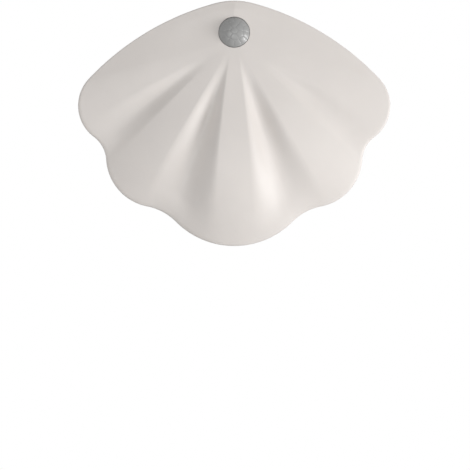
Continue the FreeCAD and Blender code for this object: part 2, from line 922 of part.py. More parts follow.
def housing(over):
    """The back housing: walls, floor, screw towers, board posts and the magnet pad."""
    walls = cut("housing_trimmed", housing_walls(), over)
    pieces = [walls]
    for number, (x, y) in enumerate(tower_places()):
        pieces.append(upright(f"tower_{number}", "dims.tower_radius", x, y, -size("tower_drop")))
    for number, (x, y) in enumerate(post_places()):
        pieces.append(upright(f"post_{number}", "dims.post_radius", x, y, board_under()))
    rim = "2 * dims.housing_wall"
    pad_foot = back_gap() + size("housing_wall") / 2
    pieces.append(box("magnet_pad", f"dims.plate_width + {rim}", f"dims.plate_height + {rim}",
                      str(pad_height() - pad_foot), on_wall(0, 0, pad_foot)))
    joined = fuse("housing_joined", pieces)
    node(cut("housing_cut", joined, fuse("housing_holes", housing_holes())), "housing")


def housing_holes():
    """Everything that is cut out of the housing."""
    holes = []
    for number, (x, y) in enumerate(tower_places()):
        ledge = -size("tower_drop") - size("tower_ledge")
        foot = basement()
        bore = "dims.screw_head_radius + dims.screw_head_gap"
        holes.append(cylinder(f"tower_bore_{number}", bore, str(ledge - foot), at(x, y, foot)))
        holes.append(cylinder(f"tower_hole_{number}", "dims.screw_radius + dims.screw_hole_gap",
                              "2 * dims.tower_ledge", at(x, y, ledge - size("tower_ledge") / 2)))
    for number, (x, y) in enumerate(post_places()):
        foot = board_under() - size("board_screw_length")
        holes.append(cylinder(f"post_hole_{number}", "dims.board_screw_radius + dims.thread_gap",
                              "dims.board_screw_length + 1", at(x, y, foot)))
    for number, (x, y) in enumerate(magnet_places()):
        holes.append(cylinder(f"magnet_seat_{number}", "dims.magnet_radius + dims.seat_gap",
                              "dims.magnet_thickness + 1",
                              on_wall(x, y, pad_height() - size("magnet_thickness") - size("seat_gap"))))
    gap = "2 * dims.plate_gap"
    recess = rounded_plate("plate_recess", f"dims.plate_width + {gap}", f"dims.plate_height + {gap}",
                           "dims.recess_depth + 1", "dims.plate_corner + dims.plate_gap",
                           on_wall(0, 0, back_gap() - 1))
    usb = stadium("usb_hole", "dims.usb_width + 2 * dims.usb_gap", "dims.usb_height + 2 * dims.usb_gap",
                  "4 * dims.housing_wall",
                  face_frame(-1, size("usb_along"), 2 * size("housing_wall"), usb_height()))
    ring = cylinder("ring_hole", "dims.spigot_radius + dims.ring_gap", "4 * dims.housing_wall",
                    lens_frame(2 * size("housing_wall")))
    notch = strip_block("strip_notch", "dims.strip_gap", size("strip_gap"))
    return holes + [recess, usb, ring, notch] + button_holes("button_hole")


def usb_height():
    """Height of the charging socket's middle, under the main board."""
    return board_under() - size("usb_height") / 2


# Buttons and switches


def lip_depth():
    """Depth of a button's lip behind the right face."""
    return size("housing_wall") + size("button_gap")


def plunger_depth():
    """Depth at which a button's stem meets its switch's plunger."""
    return lip_depth() + size("button_lip_thickness") + size("stem_length")


def switch_depth():
    """Depth of the front of a switch."""
    return plunger_depth() + size("plunger_reach")


def button_cap(name, place):
    """A button's round-ended cap with a soft front edge."""
    length = "dims.button_proud + dims.housing_wall + dims.button_gap"
    cap = rounded_plate(name, "dims.button_length", "dims.button_width", length,
                        "dims.button_width / 2 - 0.05", place)
    front = value_of(length) - 1e-3
    return round_edges(cap, "dims.button_edge_radius",
                       lambda edge: min(vertex.Z for vertex in edge.Vertexes) > front)


def buttons():
    """Each button with its lip and stem, and the switch and plunger behind it."""
    height = -size("button_drop")
    hollow = "dims.plunger_reach + dims.button_travel + dims.button_gap"
    for word, along in button_places().items():
        cap = button_cap(f"{word}_cap", face_frame(1, along, lip_depth(), height))
        lip = stadium(f"{word}_lip", "dims.button_length + 2 * dims.button_lip",
                      "dims.button_width + 2 * dims.button_lip", "dims.button_lip_thickness",
                      face_frame(1, along, lip_depth() + size("button_lip_thickness"), height))
        stem = cylinder(f"{word}_stem", "dims.stem_radius", "dims.stem_length",
                        face_frame(1, along, plunger_depth(), height))
        node(fuse(f"{word}_button_joined", [cap, lip, stem]), f"{word}_button")
        plunger = cylinder(f"{word}_pin", "dims.plunger_radius", "2 * dims.plunger_reach",
                           face_frame(1, along, switch_depth() + size("plunger_reach"), height))
        node(plunger, f"{word}_plunger")
        case = box(f"{word}_case", "dims.switch_side", "dims.switch_side", "dims.switch_depth",
                   face_frame(1, along, switch_depth() + size("switch_depth"), height))
        bore = cylinder(f"{word}_case_bore", "dims.plunger_radius + dims.plunger_gap", hollow,
                        face_frame(1, along, switch_depth() + value_of(hollow), height))
        node(cut(f"{word}_switch_cut", case, bore), f"{word}_switch")


# Main board


def board_top():
    """Height of the main board's front."""
    return board_under() + size("board_thickness")


def main_board():
    """The main board, with its edges parallel to the housing's upper faces, on three screws."""
    angle = math.radians(size("face_angle"))
    right = face_line(switch_depth() + size("strip_gap"))
    left = face_line(size("housing_wall") + size("board_edge_gap"))
    half, low = size("board_half_width"), -size("corner_drop")
    top = right / math.cos(angle) - size("board_tip_cut")
    line = [
        (-half, low),
        (half, low),
        (half, (right - half * math.sin(angle)) / math.cos(angle)),
        ((right - top * math.cos(angle)) / math.sin(angle), top),
        (-(left - top * math.cos(angle)) / math.sin(angle), top),
        (-half, (left - half * math.sin(angle)) / math.cos(angle)),
    ]
    corners = [(str(x), str(y)) for x, y in line]
    blank = padded("board_blank", corners, "dims.board_thickness", place=at(0, 0, board_under()))
    holes = [
        cylinder(f"board_hole_{number}", "dims.board_screw_radius + dims.screw_hole_gap",
                 "3 * dims.board_thickness", at(x, y, board_under() - size("board_thickness")))
        for number, (x, y) in enumerate(post_places())
    ]
    node(cut("board_cut", blank, fuse("board_holes", holes)), "main_board")
    screws = [
        screw(f"board_screw_{number}", "board_screw", at(x, y, board_top()))
        for number, (x, y) in enumerate(post_places())
    ]
    node(group("board_screw_set", screws), "board_screws")


def screw(name, kind, place):
    """A pan-head screw whose head sits on its frame, with its shank down the axis."""
    head, thick = f"dims.{kind}_head_radius", f"dims.{kind}_head"
    shank, length = f"dims.{kind}_radius", f"dims.{kind}_length"
    corners = [("0", f"-{length}"), (shank, f"-{length}"), (shank, "0"), (head, "0"),
               (head, f"{thick} / 2"), (f"{head} * 0.7", thick), ("0", thick)]
    return revolved(name, corners, place=place)


def board_pieces():
    """The sensor can, the light sensor, the chips and the charging socket on the main board."""
    top = board_top()
    brim = "dims.can_radius + dims.can_brim"
    can = [("0", "0"), (brim, "0"), (brim, "dims.can_brim_thickness"),
           ("dims.can_radius", "dims.can_brim_thickness"), ("dims.can_radius", "dims.can_height"),
           ("0", "dims.can_height")]
    node(revolved("sensor_can", can, place=at(0, size("pir_rise"), top)), "motion_sensor")
    inside = size("pir_dome_radius") - size("pir_lens_wall")
    middle = (inside + value_of(brim)) / 2
    node(box("light_cell", "dims.light_sensor_length", "dims.light_sensor_width", "dims.light_sensor_height",
             at(0, size("pir_rise") - middle, top)), "light_sensor")
    chips = [
        box(f"chip_{word}", "dims.chip_length", "dims.chip_width", "dims.chip_height",
            at(side * size("chip_x"), -size("chip_drop"), top))
        for word, side in (("control", -1), ("charge", 1))
    ]
    node(group("chip_set", chips), "board_chips")
    depth = size("usb_recess") + size("usb_depth")
    frame = face_frame(-1, size("usb_along"), depth, usb_height())
    hollow = face_frame(-1, size("usb_along"), depth - size("usb_back"), usb_height())
    case = stadium("usb_case", "dims.usb_width", "dims.usb_height", "dims.usb_depth", frame)
    room = stadium("usb_room", "dims.usb_width - 2 * dims.usb_wall", "dims.usb_height - 2 * dims.usb_wall",
                   "dims.usb_depth", hollow)
    tongue = box("usb_tongue", "dims.usb_tongue_width", "dims.usb_tongue_thickness", "dims.usb_tongue_depth",
                 frame)
    node(fuse("usb_joined", [cut("usb_shell", case, room), tongue]), "charging_socket")


def pir_lens():
    """The milky domed lens over the motion sensor, with a skirt and a lip under the shell."""
    outer, wall, rise = "dims.pir_dome_radius", "dims.pir_lens_wall", "dims.pir_dome_height"
    skirt = "-(dims.shell_wall * cos(dims.crown_slope) + dims.seat_gap + dims.pir_sag)"
    foot = f"{skirt} - dims.pir_lip_thickness"
    lip = f"{outer} + dims.pir_lip"
    inner = f"({outer} - {wall})"
    ball = f"({outer} * {outer} + {rise} * {rise}) / (2 * {rise})"
    hollow = f"({inner} * {inner} + ({rise} - {wall}) * ({rise} - {wall})) / (2 * ({rise} - {wall}))"
    corners = [(inner, foot), (lip, foot), (lip, skirt), (outer, skirt), (outer, "0"), ("0", rise),
               ("0", f"{rise} - {wall}"), (inner, "0")]
    node(revolved("pir_dome", corners, {4: ball}, {6: hollow}, place=pir_frame()), "motion_lens")


# Light outlet


def light_outlet():
    """The ring, lens, reflector and lamp board in the housing's lower end."""
    wall, reach = "dims.housing_wall", "dims.spigot_reach"
    ring, proud = "dims.ring_radius", "dims.ring_proud"
    spigot, bore = "dims.spigot_radius", "(dims.spigot_radius - dims.spigot_wall)"
    back = f"-({wall} + {reach})"
    mouth = "(dims.lens_radius + dims.ring_gap)"
    front = f"({proud} + dims.ring_front_rise)"
    seat = f"({front} - dims.lens_lip_thickness)"
    corners = [(bore, back), (spigot, back), (spigot, "0"), (ring, "0"), (ring, proud), (mouth, front),
               (mouth, seat), (bore, seat)]
    blank = revolved("ring_blank", corners, {4: "3 * dims.ring_radius"}, place=lens_frame(0))
    holes = [
        cylinder(f"ring_screw_hole_{word}", "dims.led_screw_radius + dims.thread_gap",
                 "dims.led_screw_length", led_screw_frame(side))
        for word, side in (("left", -1), ("right", 1))
    ]
    node(cut("ring_cut", blank, fuse("ring_screw_holes", holes)), "lens_ring")
    lip = f"({bore} - dims.ring_gap)"
    lip_back = f"({seat} - dims.lens_lip_thickness)"
    lip_front = f"({seat} + dims.seat_gap)"
    radius, rise = "dims.lens_radius", "dims.lens_rise"
    inner, inner_rise = f"({lip} - dims.lens_wall)", f"({rise} - dims.lens_wall)"
    ball = f"({radius} * {radius} + {rise} * {rise}) / (2 * {rise})"
    hollow = f"({inner} * {inner} + {inner_rise} * {inner_rise}) / (2 * {inner_rise})"
    lens = [(inner, lip_back), (lip, lip_back), (lip, lip_front), (radius, lip_front), (radius, front),
            ("0", f"{front} + {rise}"), ("0", f"{front} + {inner_rise}"), (inner, front)]
    node(revolved("lens_body", lens, {4: ball}, {6: hollow}, place=lens_frame(0)), "light_lens")
    nut_radius = "dims.spigot_radius + dims.nut_width"
    nut_bore = "dims.spigot_radius + dims.thread_gap"
    nut_back = f"-({wall} + dims.nut_thickness)"
    nut = [(nut_bore, nut_back), (nut_radius, nut_back), (nut_radius, f"-{wall}"), (nut_bore, f"-{wall}")]
    node(revolved("nut_body", nut, place=lens_frame(0)), "ring_nut")
    lamp_board(back, lip, lip_back)


def led_screw_frame(side):
    """Frame of one screw through the lamp board, at the back of the ring's spigot."""
    middle = size("spigot_radius") - size("spigot_wall") / 2
    place = lens_frame(size("housing_wall") + size("spigot_reach"))
    return place.multiply(at(side * middle, 0, 0))


def lamp_board(back, lip, lip_back):
    """The round lamp board on the ring's spigot, with its lamp, reflector and screws."""
    depth = size("housing_wall") + size("spigot_reach") + size("led_board_thickness")
    blank = cylinder("lamp_board_blank", "dims.spigot_radius", "dims.led_board_thickness", lens_frame(depth))
    holes = [
        cylinder(f"lamp_board_hole_{word}", "dims.led_screw_radius + dims.screw_hole_gap",
                 "4 * dims.led_board_thickness",
                 led_screw_frame(side).multiply(at(0, 0, -2 * size("led_board_thickness"))))
        for word, side in (("left", -1), ("right", 1))
    ]
    node(cut("lamp_board_cut", blank, fuse("lamp_board_holes", holes)), "lamp_board")
    node(box("lamp_chip", "dims.led_side", "dims.led_side", "dims.led_height",
             lens_frame(size("housing_wall") + size("spigot_reach"))), "lamp_led")
    throat = "(dims.led_side * 0.75)"
    wall = "dims.reflector_wall"
    top = f"({lip_back} - dims.seat_gap)"
    mouth = f"({lip} - {wall})"
    cone = [(throat, back), (f"{throat} + {wall}", back), (lip, f"{top} - {wall}"), (lip, top), (mouth, top)]
    node(revolved("reflector_body", cone, place=lens_frame(0)), "reflector")
    flip = Rotation(X_AXIS, 180)
    screws = [
        screw(f"lamp_screw_{word}", "led_screw",
              led_screw_frame(side).multiply(at(0, 0, -size("led_board_thickness"), flip)))
        for word, side in (("left", -1), ("right", 1))
    ]
    node(group("lamp_screw_set", screws), "lamp_screws")


# Battery, wall plate and screws


def battery():
    """The flat battery on its tape over the magnets."""
    lift = pad_height()
    node(box("battery_tape_block", "dims.battery_length - 2 * dims.battery_corner",
             "dims.battery_height - 2 * dims.battery_corner", "dims.battery_tape", on_wall(0, 0, lift)),
         "battery_tape")
    place = on_wall(0, 0, lift + size("battery_tape"))
    node(rounded_plate("battery_block", "dims.battery_length", "dims.battery_height",
                       "dims.battery_thickness", "dims.battery_corner", place), "battery")


def wall_mount():
    """The magnets in the housing, and the steel plate and tape that stay on the wall."""
    magnets = [
        cylinder(f"magnet_{number}", "dims.magnet_radius", "dims.magnet_thickness",
                 on_wall(x, y, pad_height() - size("magnet_thickness") - size("seat_gap")))
        for number, (x, y) in enumerate(magnet_places())
    ]
    node(group("magnet_set", magnets), "magnets")
    node(rounded_plate("plate_body", "dims.plate_width", "dims.plate_height", "dims.plate_thickness",
                       "dims.plate_corner", on_wall(0, 0, size("tape_thickness"))), "wall_plate")
    margin = "2 * dims.tape_margin"
    node(rounded_plate("tape_body", f"dims.plate_width - {margin}", f"dims.plate_height - {margin}",
                       "dims.tape_thickness", "dims.plate_corner - dims.tape_margin", on_wall(0, 0, 0)),
         "wall_tape")


def housing_screws():
    """The long screws that draw the shell onto the housing's towers."""
    flip = Rotation(X_AXIS, 180)
    ledge = -size("tower_drop") - size("tower_ledge")
    screws = [
        screw(f"tower_screw_{number}", "screw", at(x, y, ledge, flip))
        for number, (x, y) in enumerate(tower_places())
    ]
    node(group("tower_screw_set", screws), "housing_screws")


def tube(route, radius):
    """A round lead along a route, with a large tangent arc at each of its corners."""
    edges = []
    start = route[0]
    for before, corner, after in zip(route, route[1:], route[2:]):
        run_in, run_out = Vector(corner - before), Vector(after - corner)
        half_turn = run_in.getAngle(run_out) / 2
        reach = 0.45 * min(run_in.Length, run_out.Length)
        bend = reach / math.tan(half_turn)
        first = towards(corner, before, reach)
        last = towards(corner, after, reach)
        middle = towards(corner, (first + last) / 2, bend / math.cos(half_turn) - bend)
        edges.append(Part.LineSegment(start, first).toShape())
        edges.append(Part.Arc(first, middle, last).toShape())
        start = last
    edges.append(Part.LineSegment(start, route[-1]).toShape())
    path = Part.Wire(edges)
    section = Part.Wire(Part.makeCircle(radius, route[0], route[1] - route[0]))
    return path.makePipeShell([section], True, False)


def leads():
    """The leads from the battery and from the lamp board to the main board's underside."""
    radius, under = size("lead_radius"), board_under()
    frame = wall_frame()
    middle = pad_height() + size("battery_tape") + size("battery_thickness") / 2
    battery_leads = []
    for x in (-size("battery_lead_x"), size("lead_pitch") - size("battery_lead_x")):
        start = frame.multVec(Vector(x, size("battery_height") / 2, middle))
        corner = start + frame.Rotation.multVec(Vector(0, size("battery_lead_run"), 0))
        route = [start, corner, Vector(x, corner.y, under)]
        battery_leads.append(tube(route, radius))
    node(solid("battery_lead_pair", Part.makeCompound(battery_leads)), "battery_leads")
    depth = size("housing_wall") + size("spigot_reach") + size("led_board_thickness")
    lamp_leads = []
    run, land = size("lamp_lead_run"), size("lead_landing")
    over = Vector(0, run + size("lamp_lead_reach"), size("lamp_lead_climb"))
    for x in (size("lamp_lead_x"), size("lamp_lead_x") + size("lead_pitch")):
        start = lens_frame(depth).multVec(Vector(x, 0, 0))
        landing = Vector(x, -size("corner_drop") + land, under)
        route = [start, start + Vector(0, run, 0), start + over, landing - Z_AXIS * land, landing]
        lamp_leads.append(tube(route, radius))
    node(solid("lamp_lead_pair", Part.makeCompound(lamp_leads)), "lamp_leads")


def check_and_write():
    """Turn the lamp into its own frame on the wall, test every object and write each piece."""
    upright_turn = Placement(Vector(), Rotation(X_AXIS, 90))
    to_wall = upright_turn.multiply(wall_frame().inverse())
    for piece in nodes:
        piece.Placement = to_wall.multiply(piece.Placement)
    doc.recompute()
    for thing in doc.Objects:
        if "Invalid" in thing.State or "Error" in thing.State:
            raise RuntimeError(f"{thing.Label} did not build: {thing.State}")
    for piece in nodes:
        if piece.Shape.isNull() or not piece.Shape.isValid() or not piece.Shape.Solids:
            raise RuntimeError(f"{piece.Label} has no valid solid")
    os.makedirs("parts", exist_ok=True)
    for piece in nodes:
        piece.Shape.exportStep(f"parts/{piece.Label}.step")
        box_size = piece.Shape.BoundBox
        print(f"{piece.Label}: {len(piece.Shape.Solids)} solid, {piece.Shape.Volume:.1f} mm3, "
              f"{box_size.XLength:.1f} x {box_size.YLength:.1f} x {box_size.ZLength:.1f}")


fill_sheet()
front = crown_face()
space_over = solid("space_over_housing", over_front(front, -size("shell_wall") - size("seat_gap")))
shell_cover(front)
housing(space_over)
button_strip(space_over)
buttons()
main_board()
board_pieces()
pir_lens()
light_outlet()
battery()
wall_mount()
housing_screws()
leads()
check_and_write()
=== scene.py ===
import json
import logging
import math
from dataclasses import dataclass, field
from enum import Enum

import bmesh
import bpy
import numpy as np
from mathutils import Matrix, Vector


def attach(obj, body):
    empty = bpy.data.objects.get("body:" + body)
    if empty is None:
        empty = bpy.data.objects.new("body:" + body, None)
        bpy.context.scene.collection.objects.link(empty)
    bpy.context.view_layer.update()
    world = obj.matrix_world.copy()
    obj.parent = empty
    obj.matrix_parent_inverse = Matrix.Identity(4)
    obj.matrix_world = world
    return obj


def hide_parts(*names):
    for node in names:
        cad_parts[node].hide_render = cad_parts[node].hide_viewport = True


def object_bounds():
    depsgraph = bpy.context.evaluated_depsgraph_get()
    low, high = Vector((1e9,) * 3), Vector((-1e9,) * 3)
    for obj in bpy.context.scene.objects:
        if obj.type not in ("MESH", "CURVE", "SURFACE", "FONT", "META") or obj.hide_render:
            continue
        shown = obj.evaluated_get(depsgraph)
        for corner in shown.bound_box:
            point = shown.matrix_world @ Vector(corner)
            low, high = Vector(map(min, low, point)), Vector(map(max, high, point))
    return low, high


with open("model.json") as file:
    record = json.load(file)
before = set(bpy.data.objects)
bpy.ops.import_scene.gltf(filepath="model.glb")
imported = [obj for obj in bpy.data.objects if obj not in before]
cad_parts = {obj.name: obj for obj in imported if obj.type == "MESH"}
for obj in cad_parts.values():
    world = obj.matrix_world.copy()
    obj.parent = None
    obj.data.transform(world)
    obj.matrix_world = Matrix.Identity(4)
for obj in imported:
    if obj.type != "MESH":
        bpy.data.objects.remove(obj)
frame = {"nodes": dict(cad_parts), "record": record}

CAD_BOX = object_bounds()
LOG = logging.getLogger("night_light")
MM = 0.001
PICTURE_SIDE = 470


class Body(str, Enum):
    """Bodies of the lamp that pieces ride on."""

    PLATE = "wall_plate"
    LAMP = "lamp"
    POWER = "power_button"
    BRIGHTNESS = "brightness_button"


class Pattern(Enum):
    """Kinds of surface detail that a finish can have."""

    GRAIN = "grain"
    BRUSHED = "brushed"
    CRINKLED = "crinkled"
    FOAM = "foam"
    BOARD = "board"


# Frames


@dataclass(frozen=True)
class LampFrame:
    """Places the lamp's own frame, in millimetres, in the frame of the wall."""

    tilt_deg: float = 7.8
    mount_drop: float = 41.0
    wall_depth: float = 23.8
    apex_rise: float = 19.7
    face_deg: float = 35.0
    end_drop: float = 76.0
    outlet_drop: float = 9.8

    def to_row(self) -> Matrix:
        """Matrix from the lamp's frame in millimetres to the row's frame in metres."""
        tilt = math.radians(self.tilt_deg)
        height = -self.wall_depth - self.mount_drop * math.tan(tilt)
        wall = Matrix.Translation((0, -self.mount_drop, height)) @ Matrix.Rotation(tilt, 4, "X")
        return Matrix.Scale(MM, 4) @ Matrix.Rotation(math.pi / 2, 4, "X") @ wall.inverted()

    def outlet(self) -> Matrix:
        """Matrix of the light outlet: its z axis points out of the housing's lower end."""
        place = Matrix.Translation((0, -self.end_drop, -self.outlet_drop))
        return self.to_row() @ place @ Matrix.Rotation(math.pi / 2, 4, "X")

    def upper_face(self, side: int, along: float, depth: float, height: float) -> Matrix:
        """Matrix of a place on an upper face of the housing.

        Args:
            side: 1 for the right face and -1 for the left one.
            along: distance from the place where both faces would meet at the apex.
            depth: distance inward from the face.
            height: height over the rim's plane.

        Returns:
            A matrix whose z axis points out of the face and whose y axis points to the room.
        """
        angle = math.radians(self.face_deg)
        outward = Vector((side * math.sin(angle), math.cos(angle), 0))
        room = Vector((0, 0, 1))
        run = Vector((side * math.cos(angle), -math.sin(angle), 0))
        start = Vector((0, self.apex_rise, height))
        origin = start + run * along - outward * depth
        turn = Matrix((room.cross(outward), room, outward)).transposed().to_4x4()
        return self.to_row() @ Matrix.Translation(origin) @ turn


LAMP = LampFrame()


# Finishes


class Shader:
    """A short way to add and link the nodes of one material."""

    def __init__(self, name: str) -> None:
        """Start an empty material with a principled shader on its output."""
        self.material = bpy.data.materials.new(name)
        self.material.use_nodes = True
        self.tree = self.material.node_tree
        self.tree.nodes.clear()
        self.output = self.add("ShaderNodeOutputMaterial")
        self.surface = self.add("ShaderNodeBsdfPrincipled")
        self.link(self.surface.outputs["BSDF"], self.output.inputs["Surface"])
        self.place = self.add("ShaderNodeTexCoord").outputs["Object"]

    def add(self, kind: str, **settings: object) -> bpy.types.Node:
        """Add a node and set its properties."""
        node = self.tree.nodes.new(kind)
        for key, value in settings.items():
            setattr(node, key, value)
        return node

    def link(self, start: bpy.types.NodeSocket, end: bpy.types.NodeSocket) -> None:
        """Link two sockets."""
        self.tree.links.new(start, end)

    def stretched(self, scale: tuple[float, float, float]) -> bpy.types.NodeSocket:
        """Object coordinates, scaled along each axis."""
        mapping = self.add("ShaderNodeMapping")
        mapping.inputs["Scale"].default_value = scale
        self.link(self.place, mapping.inputs["Vector"])
        return mapping.outputs["Vector"]

    def noise(self, size_mm: float, detail: float,
              place: bpy.types.NodeSocket = None) -> bpy.types.NodeSocket:
        """Noise whose cells are about a size across."""
        node = self.add("ShaderNodeTexNoise")
        node.inputs["Scale"].default_value = 1 / (size_mm * MM)
        node.inputs["Detail"].default_value = detail
        self.link(place or self.place, node.inputs["Vector"])
        return node.outputs["Fac"]

    def cells(self, size_mm: float) -> bpy.types.NodeSocket:
        """Distance to the nearest point of a random scatter."""
        node = self.add("ShaderNodeTexVoronoi")
        node.inputs["Scale"].default_value = 1 / (size_mm * MM)
        self.link(self.place, node.inputs["Vector"])
        return node.outputs["Distance"]

    def ramp(self, value: bpy.types.NodeSocket, low: tuple, high: tuple) -> bpy.types.NodeSocket:
        """A colour between two colours, by a value around its middle."""
        node = self.add("ShaderNodeValToRGB")
        node.color_ramp.elements[0].position = 0.3
        node.color_ramp.elements[1].position = 0.7
        node.color_ramp.elements[0].color = (*low, 1)
        node.color_ramp.elements[1].color = (*high, 1)
        self.link(value, node.inputs["Fac"])
        return node.outputs["Color"]

    def spread(self, value: bpy.types.NodeSocket, low: float, high: float) -> bpy.types.NodeSocket:
        """A value mapped to a range."""
        node = self.add("ShaderNodeMapRange")
        node.inputs["To Min"].default_value = low
        node.inputs["To Max"].default_value = high
        self.link(value, node.inputs["Value"])
        return node.outputs["Result"]

    def bump(self, value: bpy.types.NodeSocket, depth_mm: float, strength: float) -> None:
        """Raise the surface by a value."""
        node = self.add("ShaderNodeBump")
        node.inputs["Strength"].default_value = strength
        node.inputs["Distance"].default_value = depth_mm * MM
        self.link(value, node.inputs["Height"])
        self.link(node.outputs["Normal"], self.surface.inputs["Normal"])


@dataclass(frozen=True)
class Finish:
    """A procedural finish of one of the lamp's surfaces."""

    name: str
    colour: tuple[float, float, float]
    roughness: float = 0.45
    pattern: Pattern = Pattern.GRAIN
    grain_mm: float = 0.35
    depth_mm: float = 0.012
    mottle: float = 0.015
    metallic: float = 0.0
    transmission: float = 0.0
    scatter: float = 0.0
    coat: float = 0.0
    glow: float = 0.0

    def shade(self, share: float) -> tuple[float, float, float]:
        """The finish's colour, lighter or darker by a share."""
        return tuple(min(1.0, part * (1 + share)) for part in self.colour)

    def detail(self, shader: Shader) -> bpy.types.NodeSocket:
        """The height of the finish's own surface detail.

        Args:
            shader: the material being built.

        Returns:
            A socket with a value around 0.5.
        """
        if self.pattern is Pattern.BRUSHED:
            return shader.noise(self.grain_mm, 3, shader.stretched((0.06, 1, 1)))
        if self.pattern is Pattern.CRINKLED:
            return shader.noise(self.grain_mm * 12, 6)
        if self.pattern is Pattern.FOAM:
            return shader.cells(self.grain_mm)
        if self.pattern is Pattern.BOARD:
            return shader.cells(self.grain_mm * 4)
        return shader.noise(self.grain_mm, 4)

    def material(self) -> bpy.types.Material:
        """Build the finish's material.

        Returns:
            A material with nodes for colour, roughness and bump.
        """
        shader = Shader(self.name)
        inputs = shader.surface.inputs
        broad = shader.noise(18.0, 3)
        tint = shader.ramp(broad, self.shade(-self.mottle), self.shade(self.mottle))
        shader.link(tint, inputs["Base Color"])
        fine = self.detail(shader)
        rough = shader.spread(fine, max(self.roughness - 0.05, 0.03), self.roughness + 0.05)
        shader.link(rough, inputs["Roughness"])
        shader.bump(fine, self.depth_mm, 0.35)
        inputs["Metallic"].default_value = self.metallic
        inputs["Transmission Weight"].default_value = self.transmission
        inputs["Subsurface Weight"].default_value = self.scatter
        inputs["Subsurface Radius"].default_value = (1.0, 0.9, 0.8)
        inputs["Subsurface Scale"].default_value = 0.002
        inputs["Coat Weight"].default_value = self.coat
        inputs["Coat Roughness"].default_value = 0.12
        if self.glow:
            inputs["Emission Color"].default_value = (*self.colour, 1)
            inputs["Emission Strength"].default_value = self.glow
        return shader.material


WARM_WHITE = (0.78, 0.735, 0.70)
FINISHES = {
    "shell_plastic": Finish("satin_shell_plastic", WARM_WHITE, 0.47, scatter=0.04),
    "housing_plastic": Finish("satin_housing_plastic", WARM_WHITE, 0.47, scatter=0.04),
    "button_plastic": Finish("satin_button_plastic", (0.80, 0.76, 0.725), 0.42),
    "milky_lens": Finish("milky_sensor_lens", (0.395, 0.395, 0.39), 0.34, transmission=0.1, coat=0.1,
                         mottle=0.06),
    "light_lens": Finish("milky_light_lens", (0.38, 0.38, 0.37), 0.3, transmission=0.1, coat=0.2,
                         mottle=0.03),
    "ring_plastic": Finish("grey_ring_plastic", (0.50, 0.50, 0.485), 0.36, coat=0.1, mottle=0.03),
    "inner_plastic": Finish("moulded_inner_plastic", (0.62, 0.60, 0.56), 0.5),
    "reflector_white": Finish("bright_reflector", (0.86, 0.86, 0.85), 0.25),
    "board_white": Finish("white_board_mask", (0.78, 0.78, 0.75), 0.4, Pattern.BOARD),
    "board_green": Finish("green_board_mask", (0.02, 0.12, 0.05), 0.35, Pattern.BOARD, mottle=0.15),
    "led_phosphor": Finish("led_phosphor", (0.85, 0.55, 0.08), 0.35, glow=0.15),
    "chip_black": Finish("moulded_black_chip", (0.02, 0.02, 0.02), 0.55, mottle=0.1),
    "switch_black": Finish("moulded_black_switch", (0.025, 0.025, 0.025), 0.5, mottle=0.1),
    "can_steel": Finish("plated_can_steel", (0.60, 0.60, 0.59), 0.25, Pattern.BRUSHED, metallic=1.0),
    "socket_steel": Finish("plated_socket_steel", (0.56, 0.56, 0.55), 0.28, Pattern.BRUSHED, metallic=1.0),
    "screw_steel": Finish("plated_screw_steel", (0.52, 0.52, 0.51), 0.32, Pattern.BRUSHED, metallic=1.0),
    "plate_steel": Finish("brushed_plate_steel", (0.58, 0.58, 0.57), 0.34, Pattern.BRUSHED, metallic=1.0),
    "magnet_nickel": Finish("nickel_magnet", (0.66, 0.65, 0.62), 0.15, Pattern.BRUSHED, metallic=1.0),
    "battery_foil": Finish("battery_foil", (0.62, 0.62, 0.63), 0.35, Pattern.CRINKLED, depth_mm=0.2,
                           metallic=0.9),
    "foam_tape": Finish("white_foam_tape", (0.70, 0.70, 0.68), 0.85, Pattern.FOAM, 0.6, 0.08, 0.03),
    "lead_cover": Finish("red_lead_cover", (0.42, 0.02, 0.015), 0.4, mottle=0.06),
    "contact_gold": Finish("gold_contact", (0.75, 0.55, 0.22), 0.25, Pattern.BRUSHED, metallic=1.0),
    # Painted shade: the signs are the buttons' own plastic, made a little greyer to stand in for the shading
    # of their raised strokes.
    "sign_grey": Finish("raised_button_sign_painted_shade", (0.66, 0.625, 0.595), 0.5),
}


class Paint:
    """Keeps one material for each finish."""

    made: dict[str, bpy.types.Material] = {}

    @classmethod
    def of(cls, key: str) -> bpy.types.Material:
        """The material of a finish, built when first asked for."""
        if key not in cls.made:
            cls.made[key] = FINISHES[key].material()
        return cls.made[key]


# Mesh helpers


def ease(share: np.ndarray) -> np.ndarray:
    """A smooth step from 0 to 1."""
    share = np.clip(share, 0, 1)
    return share * share * (3 - 2 * share)


